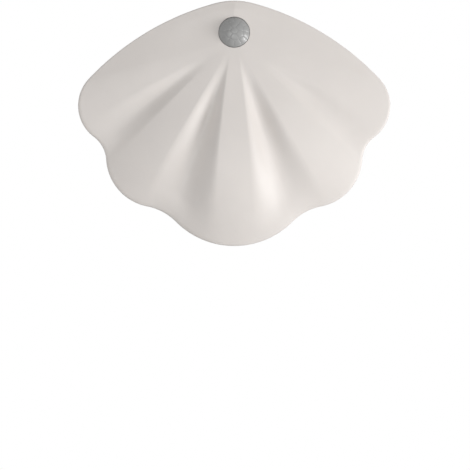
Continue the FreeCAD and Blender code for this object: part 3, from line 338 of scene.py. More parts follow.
class RingMesh:
    """A closed surface made of rings of points, one joined to the next."""

    def __init__(self) -> None:
        """Start with no points."""
        self.points: list[np.ndarray] = []
        self.faces: list[tuple[int, ...]] = []
        self.count = 0
        self.last: list[int] = []
        self.first: list[int] = []

    def ring(self, points: np.ndarray) -> None:
        """Add a ring and join it to the one before; a single point closes the surface there."""
        start = self.count
        self.points.append(np.atleast_2d(points))
        size = len(self.points[-1])
        self.count += size
        now = list(range(start, start + size))
        if self.last:
            self.join(self.last, now)
        else:
            self.first = now
        self.last = now

    def join(self, low: list[int], high: list[int]) -> None:
        """Join two rings with quads, or a ring and a point with triangles."""
        size = max(len(low), len(high))
        for index in range(size):
            after = (index + 1) % size
            if len(low) == 1:
                self.faces.append((low[0], high[after], high[index]))
            elif len(high) == 1:
                self.faces.append((low[index], low[after], high[0]))
            else:
                self.faces.append((low[index], low[after], high[after], high[index]))

    def close(self) -> None:
        """Join the last ring to the first one."""
        self.join(self.last, self.first)
        self.last = []
        self.first = []

    def build(self, name: str, place: Matrix, sharp_deg: float = 35.0) -> bpy.types.Object:
        """Make the mesh an object with its place in its points.

        Args:
            name: the piece's name.
            place: matrix from the points' frame to the row's frame.
            sharp_deg: edges that turn more than this stay sharp.

        Returns:
            An object at the origin.
        """
        points = np.concatenate(self.points)
        matrix = np.array(place)
        placed = points @ matrix[:3, :3].T + matrix[:3, 3]
        mesh = bpy.data.meshes.new(name)
        mesh.from_pydata(placed.tolist(), [], self.faces)
        return finish_mesh(name, mesh, sharp_deg)


def finish_mesh(name: str, mesh: bpy.types.Mesh, sharp_deg: float = 35.0) -> bpy.types.Object:
    """Turn normals outward, shade smoothly and put a mesh in the scene.

    Args:
        name: the piece's name.
        mesh: a mesh in the row's frame.
        sharp_deg: edges that turn more than this stay sharp.

    Returns:
        An object at the origin.
    """
    edit = bmesh.new()
    edit.from_mesh(mesh)
    bmesh.ops.remove_doubles(edit, verts=edit.verts, dist=1e-7)
    bmesh.ops.recalc_face_normals(edit, faces=edit.faces)
    edit.to_mesh(mesh)
    edit.free()
    mesh.shade_smooth()
    mesh.set_sharp_from_angle(angle=math.radians(sharp_deg))
    thing = bpy.data.objects.new(name, mesh)
    bpy.context.scene.collection.objects.link(thing)
    return thing


def lathe(profile: list[tuple[float, float]], steps: int) -> RingMesh:
    """Turn a closed profile of radius and height about the z axis.

    Args:
        profile: corners; a radius of zero makes a pole.
        steps: points round each ring.

    Returns:
        A ring mesh, closed where the profile does not touch the axis.
    """
    rings = RingMesh()
    angles = np.linspace(0, 2 * math.pi, steps, endpoint=False)
    for radius, height in profile:
        if radius == 0:
            rings.ring(np.array([0.0, 0.0, height]))
        else:
            ring = np.stack([radius * np.cos(angles), radius * np.sin(angles), np.full(steps, height)], 1)
            rings.ring(ring)
    if profile[0][0] > 0:
        rings.close()
    return rings


def settle(piece: bpy.types.Object, body: Body, slot: str, finish: str, *nodes: str) -> None:
    """Dress a piece, put it on its body and hide the CAD nodes it stands for.

    Args:
        piece: the finished piece.
        body: the body it moves with.
        slot: the record's slot that its finish belongs to; not used.
        finish: the key of its finish.
        nodes: CAD nodes that it replaces.
    """
    piece.data.materials.clear()
    piece.data.materials.append(Paint.of(finish))
    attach(piece, body.value)
    if nodes:
        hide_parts(*nodes)
    LOG.info("%s rides on %s with %d faces", piece.name, body.value, len(piece.data.polygons))


class NodeForm:
    """A Geometry Nodes tree with named inputs, which is turned into a plain mesh."""

    def __init__(self, name: str) -> None:
        """Start a tree with a geometry input and output."""
        self.name = name
        self.tree = bpy.data.node_groups.new(name, "GeometryNodeTree")
        self.values: dict[str, object] = {}
        self.tree.interface.new_socket("Geometry", in_out="INPUT", socket_type="NodeSocketGeometry")
        self.tree.interface.new_socket("Geometry", in_out="OUTPUT", socket_type="NodeSocketGeometry")
        self.start = self.add("NodeGroupInput")
        self.end = self.add("NodeGroupOutput")

    def add(self, kind: str, **settings: object) -> bpy.types.Node:
        """Add a node and set its properties."""
        node = self.tree.nodes.new(kind)
        for key, value in settings.items():
            setattr(node, key, value)
        return node

    def link(self, start: bpy.types.NodeSocket, end: bpy.types.NodeSocket) -> None:
        """Link two sockets."""
        self.tree.links.new(start, end)

    def value(self, label: str, amount: object, kind: str = "NodeSocketFloat") -> bpy.types.NodeSocket:
        """Add a named input, and remember its value by its identifier."""
        socket = self.tree.interface.new_socket(label, in_out="INPUT", socket_type=kind)
        self.values[socket.identifier] = amount
        return self.start.outputs[label]

    def make(self, points: list[Vector], finish: str, place: Matrix, geometry: bpy.types.NodeSocket,
             sharp_deg: float = 35.0) -> bpy.types.Object:
        """Close the tree, evaluate it on some points and keep the mesh.

        Args:
            points: points that the tree starts from, in its own frame.
            finish: the key of the finish that the tree sets.
            place: matrix from the tree's frame to the row's frame.
            geometry: the socket with the tree's shape.
            sharp_deg: edges that turn more than this stay sharp.

        Returns:
            An object at the origin with a plain mesh.
        """
        realize = self.add("GeometryNodeRealizeInstances")
        dress = self.add("GeometryNodeSetMaterial")
        dress.inputs["Material"].default_value = Paint.of(finish)
        self.link(geometry, realize.inputs[0])
        self.link(realize.outputs[0], dress.inputs["Geometry"])
        self.link(dress.outputs["Geometry"], self.end.inputs[0])
        seed = bpy.data.meshes.new(self.name + "_points")
        seed.from_pydata([tuple(point) for point in points], [], [])
        carrier = bpy.data.objects.new(self.name + "_carrier", seed)
        bpy.context.scene.collection.objects.link(carrier)
        modifier = carrier.modifiers.new(self.name, "NODES")
        modifier.node_group = self.tree
        for identifier, amount in self.values.items():
            modifier[identifier] = amount
        graph = bpy.context.evaluated_depsgraph_get()
        mesh = bpy.data.meshes.new_from_object(carrier.evaluated_get(graph))
        carrier.modifiers.remove(modifier)
        bpy.data.objects.remove(carrier)
        mesh.transform(place)
        return finish_mesh(self.name, mesh, sharp_deg)


# Shell


@dataclass
class ScallopShell:
    """The scallop-shaped front shell, in the lamp's frame and in millimetres."""

    drop: float = 98.9
    rise: float = 19.0
    tip_radius: float = 39.5
    lower_lobe: tuple[float, float, float] = (37.2, -55.9, 24.4)
    side_lobe: tuple[float, float, float] = (56.3, -31.4, 18.75)
    lower_notch: float = 26.9
    side_notch: float = 14.9
    brow_radius: float = 130.2
    apex_radius: float = 35.0
    wall: float = 3.0
    slope_deg: float = 9.9
    apex_lift: float = 0.6
    low_plateau: float = 0.386
    high_plateau: float = 0.75
    tent_share: float = 0.8
    plateau_deg: tuple[float, float] = (60.0, 120.0)
    tent_deg: tuple[float, float] = (5.0, 65.0)
    ridge_soft: float = 11.3
    side_droop: float = 0.007
    droop_soft: float = 10.0
    crease_half: float = 0.7
    crease_deg: float = 9.9
    crease_soft: tuple[float, float] = (0.24, 0.31)
    flank_power: float = 1.7
    inner_groove: tuple[float, float] = (18.4, 12.1)
    inner_cut: tuple[float, float, float] = (0.44, 8.0, 37.5)
    outer_groove: tuple[float, float, float] = (53.5, 8.4, 8.2)
    outer_cut: tuple[float, float, float] = (0.34, 15.5, 36.3)
    groove_end: tuple[float, float] = (0.86, 0.19)
    eye_rise: float = 3.4
    eye_radius: float = 7.55
    front_edge: float = 0.8
    back_edge: float = 0.5
    rays: int = 640
    front_rings: int = 72
    back_rings: int = 22
    table: np.ndarray = field(init=False)

    def __post_init__(self) -> None:
        """Measure the outline's reach from the fan's centre once."""
        line = self.outline(40)
        line = line[line[:, 0] >= -1e-9]
        angles = np.arctan2(line[:, 0], -line[:, 1])
        order = np.argsort(angles)
        self.table = np.stack([angles[order], np.hypot(line[order, 0], line[order, 1])])

    @staticmethod
    def meet(first: np.ndarray, first_radius: float, second: np.ndarray, second_radius: float) -> np.ndarray:
        """The right-hand point where two circles meet, going from the first to the second."""
        span = second - first
        length = np.hypot(*span)
        along = (length**2 + first_radius**2 - second_radius**2) / (2 * length)
        ahead = span / length
        off = math.sqrt(first_radius**2 - along**2)
        return first + ahead * along + np.array([ahead[1], -ahead[0]]) * off

    def outline(self, per_arc: int) -> np.ndarray:
        """Points round the shell's outline.

        Args:
            per_arc: points on each of the seven arcs of one half.

        Returns:
            Points from the tip up the right side to the apex and down the left side.
        """
        tip = np.array([0.0, -self.drop + self.tip_radius])
        apex = np.array([0.0, self.rise - self.apex_radius])
        low, low_r = np.array(self.lower_lobe[:2]), self.lower_lobe[2]
        side, side_r = np.array(self.side_lobe[:2]), self.side_lobe[2]
        notch_a = self.meet(tip, self.tip_radius + self.lower_notch, low, low_r + self.lower_notch)
        notch_b = self.meet(low, low_r + self.side_notch, side, side_r + self.side_notch)
        brow = self.meet(apex, self.brow_radius - self.apex_radius, side, self.brow_radius - side_r)
        ways = [
            (tip, self.tip_radius, None, notch_a),
            (notch_a, self.lower_notch, tip, low),
            (low, low_r, notch_a, notch_b),
            (notch_b, self.side_notch, low, side),
            (side, side_r, notch_b, 2 * side - brow),
            (brow, self.brow_radius, side, apex),
            (apex, self.apex_radius, 2 * apex - brow, None),
        ]
        points = []
        for centre, radius, before, after in ways:
            ends = []
            for goal, straight in ((before, -1), (after, 1)):
                aim = np.array([0.0, straight]) if goal is None else goal - centre
                ends.append(math.atan2(aim[1], aim[0]))
            turn = (ends[1] - ends[0] + math.pi) % (2 * math.pi) - math.pi
            angles = ends[0] + turn * np.linspace(0, 1, per_arc)
            points.append(centre + radius * np.stack([np.cos(angles), np.sin(angles)], 1))
        right = np.concatenate(points)
        left = right[::-1] * np.array([-1, 1])
        return np.concatenate([right, left])

    def even_outline(self) -> np.ndarray:
        """The outline as points at even steps."""
        line = self.outline(200)
        steps = np.hypot(*np.diff(line, axis=0).T)
        keep = np.concatenate([[True], steps > 1e-9])
        line = line[keep]
        run = np.concatenate([[0], np.cumsum(np.hypot(*np.diff(line, axis=0).T))])
        even = np.linspace(0, run[-1], self.rays, endpoint=False)
        return np.stack([np.interp(even, run, line[:, 0]), np.interp(even, run, line[:, 1])], 1)

    def inner_dip(self, angle: np.ndarray, reach: np.ndarray, share: np.ndarray) -> np.ndarray:
        """Depth of the inner grooves: a flank that climbs to a crease, and a round side."""
        middle, far = self.inner_groove
        off = angle - middle
        crease = self.crease_deg + np.degrees(self.crease_half / np.maximum(reach, self.inner_cut[1]))
        climb = np.maximum(-off, 0) / (middle - crease)
        soft = self.crease_soft[0] + self.crease_soft[1] * ease(share)
        climb = np.minimum(climb, 1) - np.maximum(soft - np.abs(climb - 1), 0) ** 2 / (4 * soft)
        flank = 1 - np.maximum(climb, 0) ** self.flank_power
        return np.where(off < 0, flank, 1 - ease(off / far))

    def outer_dip(self, angle: np.ndarray) -> np.ndarray:
        """Depth of the outer grooves, from 0 on a lobe to 1 in a groove."""
        middle, near, far = self.outer_groove
        off = angle - middle
        return 1 - ease(np.abs(off) / np.where(off < 0, near, far))

    def crown(self, x: np.ndarray, y: np.ndarray) -> np.ndarray:
        """Height of the shell's front face over the plane of the rim."""
        reach = np.hypot(x, y)
        turn = np.abs(np.arctan2(x, -y))
        angle = np.degrees(turn)
        share = reach / np.interp(turn, *self.table)
        near, far = self.plateau_deg
        turned = ease((angle - near) / (far - near))
        plateau = self.low_plateau + (self.high_plateau - self.low_plateau) * turned
        fall = np.sin(math.pi / 2 * np.clip((1 - share) / (1 - plateau), -0.5, 1))
        near, far = self.tent_deg
        tent = self.tent_share * ease((angle - near) / (far - near))
        fall += (1 - share - fall) * tent * np.abs(x) / np.hypot(x, self.ridge_soft)
        swell = self.apex_lift + math.tan(math.radians(self.slope_deg)) * (self.rise - y)
        cut = np.zeros_like(reach)
        for dip, (depth, first, fade) in ((self.inner_dip(angle, reach, share), self.inner_cut),
                                          (self.outer_dip(angle), self.outer_cut)):
            cut += depth * dip * ease((reach - first) / fade)
        cut *= 1 - ease((share - self.groove_end[0]) / self.groove_end[1])
        droop = self.side_droop * (np.hypot(x, self.droop_soft) - self.droop_soft)
        return self.wall - droop + swell * fall * (1 - cut)

    def build(self) -> bpy.types.Object:
        """Build the shell as one closed skin from the sensor's hole over the rim and back.

        Returns:
            The shell in the row's frame.
        """
        eye = np.array([0.0, self.eye_rise])
        rim = self.even_outline()
        aim = rim - eye
        length = np.hypot(*aim.T)
        aim /= length[:, None]
        rings = RingMesh()

        def add(inset: np.ndarray, sink: float, back: bool) -> None:
            """Add a ring at an inset from the rim, sunk below the front or the back face."""
            flat = eye + aim * (length - inset)[:, None]
            height = self.crown(*flat.T) - sink - (self.wall if back else 0)
            rings.ring(np.column_stack([flat, height]))

        inner = length - self.eye_radius
        for share in np.linspace(0, 1, self.front_rings):
            add(self.front_edge + (inner - self.front_edge) * (1 - share), 0, False)
        for turn in np.radians((30, 60, 90)):
            add(np.full_like(length, self.front_edge * (1 - math.sin(turn))),
                self.front_edge * (1 - math.cos(turn)), False)
        for turn in np.radians((90, 60, 30, 0)):
            add(np.full_like(length, self.back_edge * (1 - math.sin(turn))),
                -self.back_edge * (1 - math.cos(turn)), True)
        for share in np.linspace(0, 1, self.back_rings)[1:]:
            add(self.back_edge + (inner - self.back_edge) * share, 0, True)
        rings.close()
        return rings.build("shell_skin", LAMP.to_row(), 50)


# Motion sensor's lens


@dataclass
class MotionLens:
    """The milky domed lens over the motion sensor, with its small facets."""

    shell: ScallopShell
    radius: float = 7.35
    height: float = 3.3
    wall: float = 0.9
    lip: float = 1.3
    lip_thickness: float = 1.0
    seat_gap: float = 0.1
    sag: float = 0.7
    facet_rows: tuple[tuple[int, float], ...] = ((1, 0.0), (6, 3.1), (12, 5.9))
    groove_depth: float = 0.14
    groove_half: float = 0.22
    facet_swell: float = 0.10
    facet_half: float = 1.8
    edge_fade: float = 0.4
    steps: int = 216
    dome_rings: int = 60

    def place(self) -> Matrix:
        """Matrix of the lens: its z axis leans with the shell's slope."""
        shell = self.shell
        slope = math.radians(shell.slope_deg)
        height = shell.wall + shell.apex_lift + math.tan(slope) * (shell.rise - shell.eye_rise)
        middle = Matrix.Translation((0, shell.eye_rise, height))
        return LAMP.to_row() @ middle @ Matrix.Rotation(-slope, 4, "X")

    def facets(self, x: np.ndarray, y: np.ndarray) -> np.ndarray:
        """Height of the facets over the plain dome: swollen cells with grooves between them."""
        centres = []
        for count, radius in self.facet_rows:
            for index in range(count):
                angle = 2 * math.pi * (index + 0.5) / count
                centres.append((radius * math.cos(angle), radius * math.sin(angle)))
        gaps = np.stack([np.hypot(x - cx, y - cy) for cx, cy in centres])
        gaps.sort(axis=0)
        edge = (gaps[1] - gaps[0]) / 2
        groove = 1 - ease(edge / self.groove_half)
        swell = np.clip(1 - (gaps[0] / self.facet_half) ** 2, 0, 1)
        return self.facet_swell * swell - self.groove_depth * groove

    def build(self) -> bpy.types.Object:
        """Build the dome with facets, its skirt, its lip and its hollow.

        Returns:
            The lens in the row's frame.
        """
        ball = (self.radius**2 + self.height**2) / (2 * self.height)
        angles = np.linspace(0, 2 * math.pi, self.steps, endpoint=False)
        rings = RingMesh()
        rings.ring(np.array([0.0, 0.0, self.height]))
        for radius in np.linspace(0, self.radius, self.dome_rings)[1:]:
            x, y = radius * np.cos(angles), radius * np.sin(angles)
            dome = math.sqrt(ball**2 - radius**2) - (ball - self.height)
            fade = ease(np.full_like(x, (self.radius - radius) / self.edge_fade))
            rings.ring(np.stack([x, y, dome + fade * (self.facets(x, y) - self.facet_swell)], 1))
        through = self.shell.wall * math.cos(math.radians(self.shell.slope_deg))
        skirt = -(through + self.seat_gap + self.sag)
        inner = self.radius - self.wall
        hollow_rise = self.height - self.wall
        hollow = (inner**2 + hollow_rise**2) / (2 * hollow_rise)
        profile = [(self.radius, skirt), (self.radius + self.lip, skirt),
                   (self.radius + self.lip, skirt - self.lip_thickness), (inner, skirt - self.lip_thickness)]
        for radius in np.linspace(inner, 0, 12):
            profile.append((radius, math.sqrt(hollow**2 - radius**2) - (hollow - hollow_rise)))
        for radius, height in profile:
            if radius < 1e-9:
                rings.ring(np.array([0.0, 0.0, height]))
            else:
                ring = [radius * np.cos(angles), radius * np.sin(angles), np.full(self.steps, height)]
                rings.ring(np.stack(ring, 1))
        return rings.build("sensor_dome", self.place(), 40)


# Light outlet


@dataclass
class LightOutlet:
    """The grey ring and the milky lens at the housing's lower end."""

    ring_radius: float = 14.7
    proud: float = 5.3
    front_rise: float = 0.4
    gap: float = 0.15
    spigot_radius: float = 12.5
    spigot_wall: float = 3.0
    housing_wall: float = 2.2
    spigot_reach: float = 4.0
    lens_radius: float = 11.3
    lip_thickness: float = 1.2
    edge: float = 0.6
    rib_heights: tuple[float, ...] = (1.3, 2.7, 4.1)
    rib_radius: float = 0.09

    def front_curve(self, steps: int) -> list[tuple[float, float]]:
        """Points of the ring's domed front from its rim to its mouth."""
        mouth = self.lens_radius + self.gap
        curve = 3 * self.ring_radius
        start = np.array([self.ring_radius, self.proud])
        end = np.array([mouth, self.proud + self.front_rise])
        chord = end - start
        length = np.hypot(*chord)
        side = np.array([chord[1], -chord[0]]) / length
        depth = math.sqrt(curve**2 - (length / 2) ** 2)
        centre = (start + end) / 2 - side * depth
        first = math.atan2(*(start - centre)[::-1])
        last = math.atan2(*(end - centre)[::-1])
        return [
            (centre[0] + curve * math.cos(angle), centre[1] + curve * math.sin(angle))
            for angle in np.linspace(first, last, steps)
        ]

    def build_ring(self) -> bpy.types.Object:
        """Build the ring with softened edges, its spigot and its bore.

        Returns:
            The ring in the row's frame.
        """
        bore = self.spigot_radius - self.spigot_wall
        back = -(self.housing_wall + self.spigot_reach)
        front = self.proud + self.front_rise
        seat = front - self.lip_thickness
        mouth = self.lens_radius + self.gap
        profile = [(bore, back), (self.spigot_radius, back), (self.spigot_radius, 0), (self.ring_radius, 0),
                   (self.ring_radius, self.proud - self.edge)]
        for turn in np.radians((30, 60)):
            profile.append((self.ring_radius - self.edge * (1 - math.cos(turn)),
                            self.proud - self.edge * (1 - math.sin(turn))))
        profile += [point for point in self.front_curve(14)[1:-1] if point[0] < self.ring_radius - self.edge]
        profile += [(mouth + 0.1, front - 0.05), (mouth, front - 0.2), (mouth, seat), (bore, seat)]
        return lathe(profile, 144).build("outlet_ring", LAMP.outlet(), 30)

    def build_ribs(self) -> bpy.types.Object:
        """Build the fine turned lines round the ring with Geometry Nodes.

        Returns:
            The lines in the row's frame.
        """
        form = NodeForm("outlet_ribs")
        rib = form.value("Rib Radius", self.rib_radius)
        steps = form.value("Steps Round", 144, "NodeSocketInt")
        spot = form.add("GeometryNodeInputPosition")
        split = form.add("ShaderNodeSeparateXYZ")
        form.link(spot.outputs[0], split.inputs[0])
        keep = form.add("GeometryNodeCaptureAttribute", domain="POINT")
        keep.capture_items.new("FLOAT", "Turn Radius")
        form.link(form.start.outputs["Geometry"], keep.inputs["Geometry"])
        form.link(split.outputs["X"], keep.inputs["Turn Radius"])
        axis = form.add("ShaderNodeCombineXYZ")
        form.link(split.outputs["Z"], axis.inputs["Z"])
        centre = form.add("GeometryNodeSetPosition")
        form.link(keep.outputs["Geometry"], centre.inputs["Geometry"])
        form.link(axis.outputs[0], centre.inputs["Position"])
        circle = form.add("GeometryNodeCurvePrimitiveCircle")
        circle.inputs["Radius"].default_value = 1
        form.link(steps, circle.inputs["Resolution"])
        copies = form.add("GeometryNodeInstanceOnPoints")
        form.link(centre.outputs["Geometry"], copies.inputs["Points"])
        form.link(circle.outputs["Curve"], copies.inputs["Instance"])
        form.link(keep.outputs["Turn Radius"], copies.inputs["Scale"])
        curves = form.add("GeometryNodeRealizeInstances")
        form.link(copies.outputs[0], curves.inputs[0])
        section = form.add("GeometryNodeCurvePrimitiveCircle")
        section.inputs["Resolution"].default_value = 8
        form.link(rib, section.inputs["Radius"])
        tube = form.add("GeometryNodeCurveToMesh")
        form.link(curves.outputs[0], tube.inputs["Curve"])
        form.link(section.outputs["Curve"], tube.inputs["Profile Curve"])
        points = [Vector((self.ring_radius, 0, height)) for height in self.rib_heights]
        return form.make(points, "ring_plastic", LAMP.outlet(), tube.outputs["Mesh"])


# Buttons and their signs


@dataclass
class ButtonSign:
    """The raised sign on a button's face, in the button's plastic made greyer as painted shade."""

    name: str
    body: Body
    along: float
    button_drop: float = 6.1
    proud: float = 0.9
    stroke: float = 0.22

    def place(self) -> Matrix:
        """Matrix on the middle of the button's face."""
        return LAMP.upper_face(1, self.along, -self.proud, -self.button_drop)

    def stroke_tube(self, form: NodeForm, curve: bpy.types.NodeSocket) -> bpy.types.NodeSocket:
        """A round stroke along a curve, as a mesh."""
        section = form.add("GeometryNodeCurvePrimitiveCircle")
        section.inputs["Resolution"].default_value = 12
        form.link(form.value("Stroke Radius", self.stroke), section.inputs["Radius"])
        tube = form.add("GeometryNodeCurveToMesh")
        tube.inputs["Fill Caps"].default_value = True
        form.link(curve, tube.inputs["Curve"])
        form.link(section.outputs["Curve"], tube.inputs["Profile Curve"])
        return tube.outputs["Mesh"]

    def line(self, form: NodeForm, start: tuple, end: tuple) -> bpy.types.NodeSocket:
        """A straight curve between two points."""
        node = form.add("GeometryNodeCurvePrimitiveLine")
        node.inputs["Start"].default_value = start
        node.inputs["End"].default_value = end
        return node.outputs["Curve"]

    def joined(self, form: NodeForm, *parts: bpy.types.NodeSocket) -> bpy.types.NodeSocket:
        """Several shapes in one."""
        join = form.add("GeometryNodeJoinGeometry")
        for part in parts:
            form.link(part, join.inputs[0])
        return join.outputs[0]


@dataclass
class PowerSign(ButtonSign):
    """An open ring with a short bar at its gap."""

    ring_radius: float = 1.75
    gap_deg: float = 76.0
    bar: tuple[float, float] = (0.35, 2.2)

    def build(self) -> bpy.types.Object:
        """Build the sign with Geometry Nodes.

        Returns:
            The sign in the row's frame.
        """
        form = NodeForm(self.name)
        arc = form.add("GeometryNodeCurveArc", mode="RADIUS")
        arc.inputs["Resolution"].default_value = 40
        arc.inputs["Start Angle"].default_value = math.radians(90 + self.gap_deg / 2)
        arc.inputs["Sweep Angle"].default_value = math.radians(360 - self.gap_deg)
        form.link(form.value("Ring Radius", self.ring_radius), arc.inputs["Radius"])
        bar = self.line(form, (0, self.bar[0], 0), (0, self.bar[1], 0))
        shape = self.stroke_tube(form, self.joined(form, arc.outputs["Curve"], bar))
        return form.make([Vector()], "sign_grey", self.place(), shape)


@dataclass
class SunSign(ButtonSign):
    """A ring with short rays round it."""

    ring_radius: float = 0.95
    ray: tuple[float, float] = (1.5, 2.2)
    rays: int = 8

    def build(self) -> bpy.types.Object:
        """Build the sign with Geometry Nodes: one ray, copied round the ring.

        Returns:
            The sign in the row's frame.
        """
        form = NodeForm(self.name)
        ring = form.add("GeometryNodeCurvePrimitiveCircle")
        ring.inputs["Resolution"].default_value = 40
        form.link(form.value("Ring Radius", self.ring_radius), ring.inputs["Radius"])
        turn = form.add("ShaderNodeMath", operation="MULTIPLY")
        turn.inputs[1].default_value = 2 * math.pi / self.rays
        number = form.add("GeometryNodeInputIndex")
        form.link(number.outputs[0], turn.inputs[0])
        spin = form.add("ShaderNodeCombineXYZ")
        form.link(turn.outputs[0], spin.inputs["Z"])
        copies = form.add("GeometryNodeInstanceOnPoints")
        form.link(form.start.outputs["Geometry"], copies.inputs["Points"])
        form.link(self.line(form, (self.ray[0], 0, 0), (self.ray[1], 0, 0)), copies.inputs["Instance"])
        form.link(spin.outputs[0], copies.inputs["Rotation"])
        rays = form.add("GeometryNodeRealizeInstances")
        form.link(copies.outputs[0], rays.inputs[0])
        shape = self.stroke_tube(form, self.joined(form, ring.outputs["Curve"], rays.outputs[0]))
        return form.make([Vector()] * self.rays, "sign_grey", self.place(), shape)


# Charging socket


@dataclass
class SocketContacts:
    """The fine contacts on both sides of the charging socket's tongue."""

    along: float = 33.8
    height: float = -4.7
    recess: float = 0.5
    depth: float = 7.3
    tongue: float = 0.7
    count: int = 12
    pitch: float = 0.5
    size: tuple[float, float, float] = (0.26, 0.06, 4.2)

    def build(self) -> bpy.types.Object:
        """Build the contacts with Geometry Nodes.

        Returns:
            The contacts in the row's frame.
        """
        form = NodeForm("socket_contacts")
        cube = form.add("GeometryNodeMeshCube")
        form.link(form.value("Contact Size", self.size, "NodeSocketVector"), cube.inputs["Size"])
        copies = form.add("GeometryNodeInstanceOnPoints")
        form.link(form.start.outputs["Geometry"], copies.inputs["Points"])
        form.link(cube.outputs["Mesh"], copies.inputs["Instance"])
        across = (np.arange(self.count) - (self.count - 1) / 2) * self.pitch
        lift = (self.tongue + self.size[1]) / 2
        points = [Vector((x, side * lift, 0.55 * self.depth)) for x in across for side in (-1, 1)]
        place = LAMP.upper_face(-1, self.along, self.recess + self.depth, self.height)
        return form.make(points, "contact_gold", place, copies.outputs[0])


# Carried-over nodes


class CarriedNodes:
    """The CAD nodes whose shape stays, each with the finish of its slot."""

    @staticmethod
    def dress() -> None:
        """Give every CAD node a procedural material."""
        slots = {entry["node"]: entry["material_slot"] for entry in frame["record"]["subparts"]}
        for name, thing in frame["nodes"].items():
            paint = Paint.of(slots[name])
            if not thing.material_slots:
                thing.data.materials.append(paint)
            for holder in thing.material_slots:
                holder.material = paint
            LOG.info("%s keeps its shape with %s", name, paint.name)


# Studio


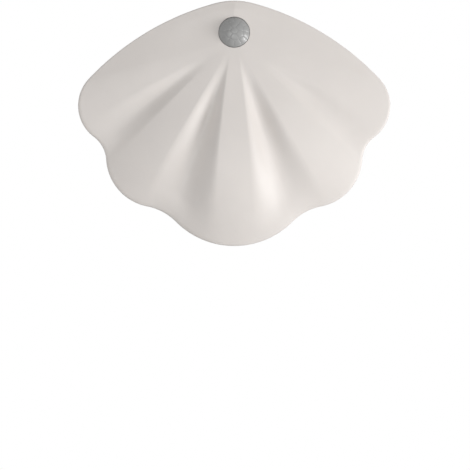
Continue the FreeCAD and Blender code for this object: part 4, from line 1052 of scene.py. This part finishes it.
@dataclass
class Studio:
    """The pale floor, the soft light and the camera."""

    floor_drop: float = 0.30
    floor_half: float = 0.6
    floor_white: float = 0.88
    lens_mm: float = 135.0
    pixel_mm: float = 0.48
    photo_middle: tuple[float, float] = (234.2, 40.0)
    world_light: float = 0.31

    def floor(self) -> None:
        """Lay a pale floor well below the lamp."""
        low = CAD_BOX[0][2] - self.floor_drop
        half = self.floor_half
        corners = [(-half, -half, low), (half, -half, low), (half, half, low), (-half, half, low)]
        mesh = bpy.data.meshes.new("floor")
        mesh.from_pydata(corners, [], [(0, 1, 2, 3)])
        thing = bpy.data.objects.new("floor", mesh)
        bpy.context.scene.collection.objects.link(thing)
        mesh.materials.append(self.floor_paint())

    def floor_paint(self) -> bpy.types.Material:
        """A pale finish that the camera sees nearly white, with some of the shadows on it."""
        paint = Finish("pale_floor", (0.86, 0.86, 0.86), 0.7, mottle=0.004).material()
        tree = paint.node_tree
        output = tree.get_output_node("CYCLES")
        surface = output.inputs["Surface"].links[0].from_socket
        seen = tree.nodes.new("ShaderNodeLightPath").outputs["Is Camera Ray"]
        share = tree.nodes.new("ShaderNodeMath")
        share.operation = "MULTIPLY"
        share.inputs[1].default_value = self.floor_white
        white = tree.nodes.new("ShaderNodeEmission")
        mix = tree.nodes.new("ShaderNodeMixShader")
        tree.links.new(seen, share.inputs[0])
        tree.links.new(share.outputs[0], mix.inputs["Fac"])
        tree.links.new(surface, mix.inputs[1])
        tree.links.new(white.outputs[0], mix.inputs[2])
        tree.links.new(mix.outputs[0], output.inputs["Surface"])
        return paint

    def world(self) -> None:
        """White behind the lamp and a plain grey light round it."""
        world = bpy.data.worlds.new("studio_world")
        bpy.context.scene.world = world
        world.use_nodes = True
        tree = world.node_tree
        tree.nodes.clear()
        output = tree.nodes.new("ShaderNodeOutputWorld")
        mix = tree.nodes.new("ShaderNodeMixShader")
        light = tree.nodes.new("ShaderNodeBackground")
        light.inputs["Color"].default_value = (1, 1, 1, 1)
        light.inputs["Strength"].default_value = self.world_light
        white = tree.nodes.new("ShaderNodeBackground")
        white.inputs["Color"].default_value = (1, 1, 1, 1)
        white.inputs["Strength"].default_value = 1.0
        path = tree.nodes.new("ShaderNodeLightPath")
        seen = path.outputs["Is Camera Ray"]
        for ray in ("Is Glossy Ray", "Is Transmission Ray"):
            either = tree.nodes.new("ShaderNodeMath")
            either.operation = "MAXIMUM"
            tree.links.new(seen, either.inputs[0])
            tree.links.new(path.outputs[ray], either.inputs[1])
            seen = either.outputs[0]
        tree.links.new(seen, mix.inputs["Fac"])
        tree.links.new(light.outputs[0], mix.inputs[1])
        tree.links.new(white.outputs[0], mix.inputs[2])
        tree.links.new(mix.outputs[0], output.inputs["Surface"])

    def lamp_light(self, name: str, place: tuple, size: float, power: float) -> None:
        """A soft square light that looks at the lamp."""
        data = bpy.data.lights.new(name, "AREA")
        data.size = size
        data.energy = power
        thing = bpy.data.objects.new(name, data)
        bpy.context.scene.collection.objects.link(thing)
        thing.location = place
        aim = Vector((0, -0.02, 0)) - Vector(place)
        thing.rotation_euler = aim.to_track_quat("-Z", "Y").to_euler()

    def camera(self) -> None:
        """A camera square to the shell's rim, framed as in the photograph."""
        data = bpy.data.cameras.new("photo_camera")
        data.sensor_width = 36
        data.lens = self.lens_mm
        data.clip_start = 0.01
        half = PICTURE_SIDE / 2
        width = PICTURE_SIDE * self.pixel_mm * MM
        distance = width * self.lens_mm / data.sensor_width
        row = LAMP.to_row()
        turn = row.to_3x3().normalized()
        across = (half - self.photo_middle[0]) * self.pixel_mm
        down = (self.photo_middle[1] - half) * self.pixel_mm
        target = row @ Vector((across, down, 3.0))
        thing = bpy.data.objects.new("photo_camera", data)
        bpy.context.scene.collection.objects.link(thing)
        thing.location = target + turn @ Vector((0, 0, distance))
        thing.rotation_euler = turn.to_euler()
        bpy.context.scene.camera = thing

    def build(self) -> None:
        """Set the stage."""
        bpy.context.scene.view_settings.view_transform = "Standard"
        self.floor()
        self.world()
        self.lamp_light("key_light", (1.35, -0.63, -0.17), 0.6, 14.9)
        self.lamp_light("front_light", (-0.35, -1.46, 0.25), 0.8, 6.3)
        self.lamp_light("back_light", (0.4, 1.3, 0.6), 1.0, 4.0)
        self.camera()


def main() -> None:
    """Build every piece in order."""
    logging.basicConfig(level=logging.INFO, format="%(message)s")
    Studio().build()
    CarriedNodes.dress()
    shell = ScallopShell()
    settle(shell.build(), Body.LAMP, "shell_plastic", "shell_plastic", "shell_cover")
    settle(MotionLens(shell).build(), Body.LAMP, "milky_lens", "milky_lens", "motion_lens")
    outlet = LightOutlet()
    settle(outlet.build_ring(), Body.LAMP, "ring_plastic", "ring_plastic", "lens_ring")
    settle(outlet.build_ribs(), Body.LAMP, "ring_plastic", "ring_plastic")
    power = PowerSign("power_sign", Body.POWER, 43.8)
    settle(power.build(), power.body, "button_plastic", "sign_grey")
    sun = SunSign("sun_sign", Body.BRIGHTNESS, 25.2)
    settle(sun.build(), sun.body, "button_plastic", "sign_grey")
    settle(SocketContacts().build(), Body.LAMP, "socket_steel", "contact_gold")


if __name__ == "__main__":
    main()
